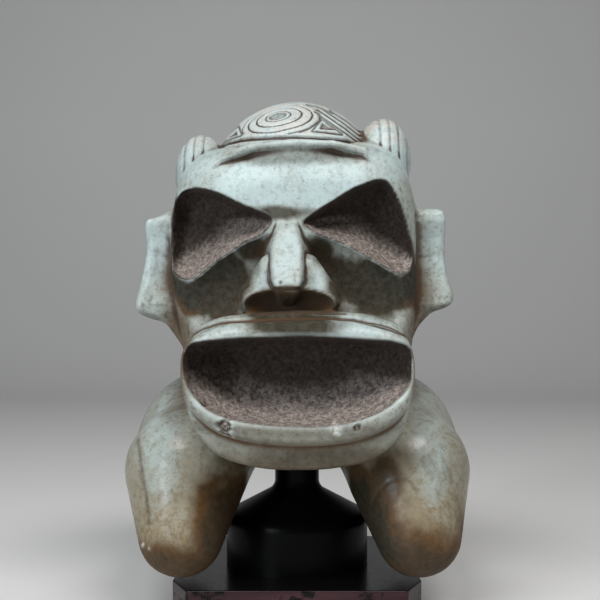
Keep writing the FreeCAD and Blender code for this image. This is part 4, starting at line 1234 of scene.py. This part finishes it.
points, quads, masks = stone_mesh()
stone = make_object("carved_stone", points, quads)
stone.data.materials.append(stone_material(masks))
for name, values in masks.items():
    layer = stone.data.attributes.new(name, "FLOAT", "POINT")
    layer.data.foreach_set("value", np.asarray(values, np.float32))
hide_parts("zemi_figure")
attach(stone, "figure")

# The mount

BLACK = (0.003, 0.003, 0.003)

black = lacquer("black_lacquer", BLACK, (0.007, 0.006, 0.006), 0.70, 0.30, 0.05)
maroon = lacquer("maroon_lacquer", (0.045, 0.020, 0.024), (0.006, 0.005, 0.005), 0.56, 0.3, 0.3)
dress("pedestal", black)
dress("top_board", board_lacquer(BLACK, (0.050, 0.022, 0.026)))
dress("plinth", maroon)
dress("base_felt", fibre("felt", (0.025, 0.025, 0.027), (0.055, 0.053, 0.055), 900.0))
dress("saddle_lining", fibre("cork_lining", (0.30, 0.21, 0.13), (0.16, 0.10, 0.06), 450.0))
dress("saddle", steel("black_steel", (0.02, 0.02, 0.02), 0.4, 0.0))
for node in ("locating_pin", "board_screws", "tie_rod", "tie_washer", "tie_nut"):
    dress(node, steel(node + "_steel", (0.48, 0.48, 0.49), 0.28, 1.0))

# Floor, light and camera

STAGE_NEAR, STAGE_BEND, STAGE_RISE, STAGE_HALF_WIDTH = -3.0, 1.6, 3.0, 4.0
STAGE_CURVE, STAGE_STEPS = 0.8, 12


def make_stage():
    """A floor that bends up into a backdrop behind the object."""
    turns = np.radians(np.linspace(0, 90, STAGE_STEPS + 1))
    y = (STAGE_NEAR, *(STAGE_BEND + STAGE_CURVE * np.sin(turns)), STAGE_BEND + STAGE_CURVE)
    z = (0.0, *(STAGE_CURVE * (1 - np.cos(turns))), STAGE_RISE)
    points = np.array([
        (side * STAGE_HALF_WIDTH, *place) for place in zip(y, z) for side in (-1, 1)
    ]) / MM
    first = 2 * np.arange(len(y) - 1)[:, None]
    faces = first + (0, 1, 3, 2)
    made = make_object("floor_and_backdrop", points, faces)
    m = Shader("paper")
    tooth = m.span(m.noise(600.0, 2.0), 0.3, 0.7)
    colour = m.mix(tooth, (0.74, 0.74, 0.74), (0.77, 0.77, 0.77))
    made.data.materials.append(m.finish(colour, 0.85))
    return made


# Lamps: name, place, width, height, power and colour. All of them face one point.
AIM = mathutils.Vector((0.0, 0.0, 0.23))
WARM, COOL = (1.0, 0.99, 0.97), (0.84, 0.93, 1.0)
LAMPS = (
    ("key_left", (-0.50, -1.05, 1.68), 0.9, 0.45, 17.5, WARM),
    ("key_right", (0.55, -1.00, 1.68), 0.9, 0.45, 20.0, WARM),
    ("strip_left", (-1.15, -1.25, 0.50), 0.26, 1.1, 13.0, COOL),
)
WORLD_STRENGTH = 0.05
SENSOR_WIDTH = 36.0

make_stage()
scene = bpy.context.scene
for name, place, wide, high, power, colour in LAMPS:
    light = bpy.data.lights.new(name, "AREA")
    light.shape = "RECTANGLE"
    light.size, light.size_y, light.energy, light.color = wide, high, power, colour
    lamp = bpy.data.objects.new(name, light)
    lamp.location = place
    lamp.rotation_euler = (lamp.location - AIM).to_track_quat("Z", "Y").to_euler()
    scene.collection.objects.link(lamp)

world = bpy.data.worlds.new("studio")
world.use_nodes = True
glow = world.node_tree.nodes["Background"]
glow.inputs["Color"].default_value = (1.0, 1.0, 1.0, 1.0)
glow.inputs["Strength"].default_value = WORLD_STRENGTH
scene.world = world

lens = bpy.data.cameras.new("camera")
lens.sensor_width = SENSOR_WIDTH
lens.lens = SENSOR_WIDTH * FOCAL_PIXELS / IMAGE_SIDE
lens.shift_x = (IMAGE_SIDE / 2 - CENTRE_COLUMN) / IMAGE_SIDE
camera = bpy.data.objects.new("camera", lens)
camera.location = (0.0, -CAMERA_DISTANCE * MM, CAMERA_HEIGHT * MM)
camera.rotation_euler = (math.radians(90.0), 0.0, 0.0)
scene.collection.objects.link(camera)
scene.camera = camera
scene.view_settings.view_transform = "Standard"
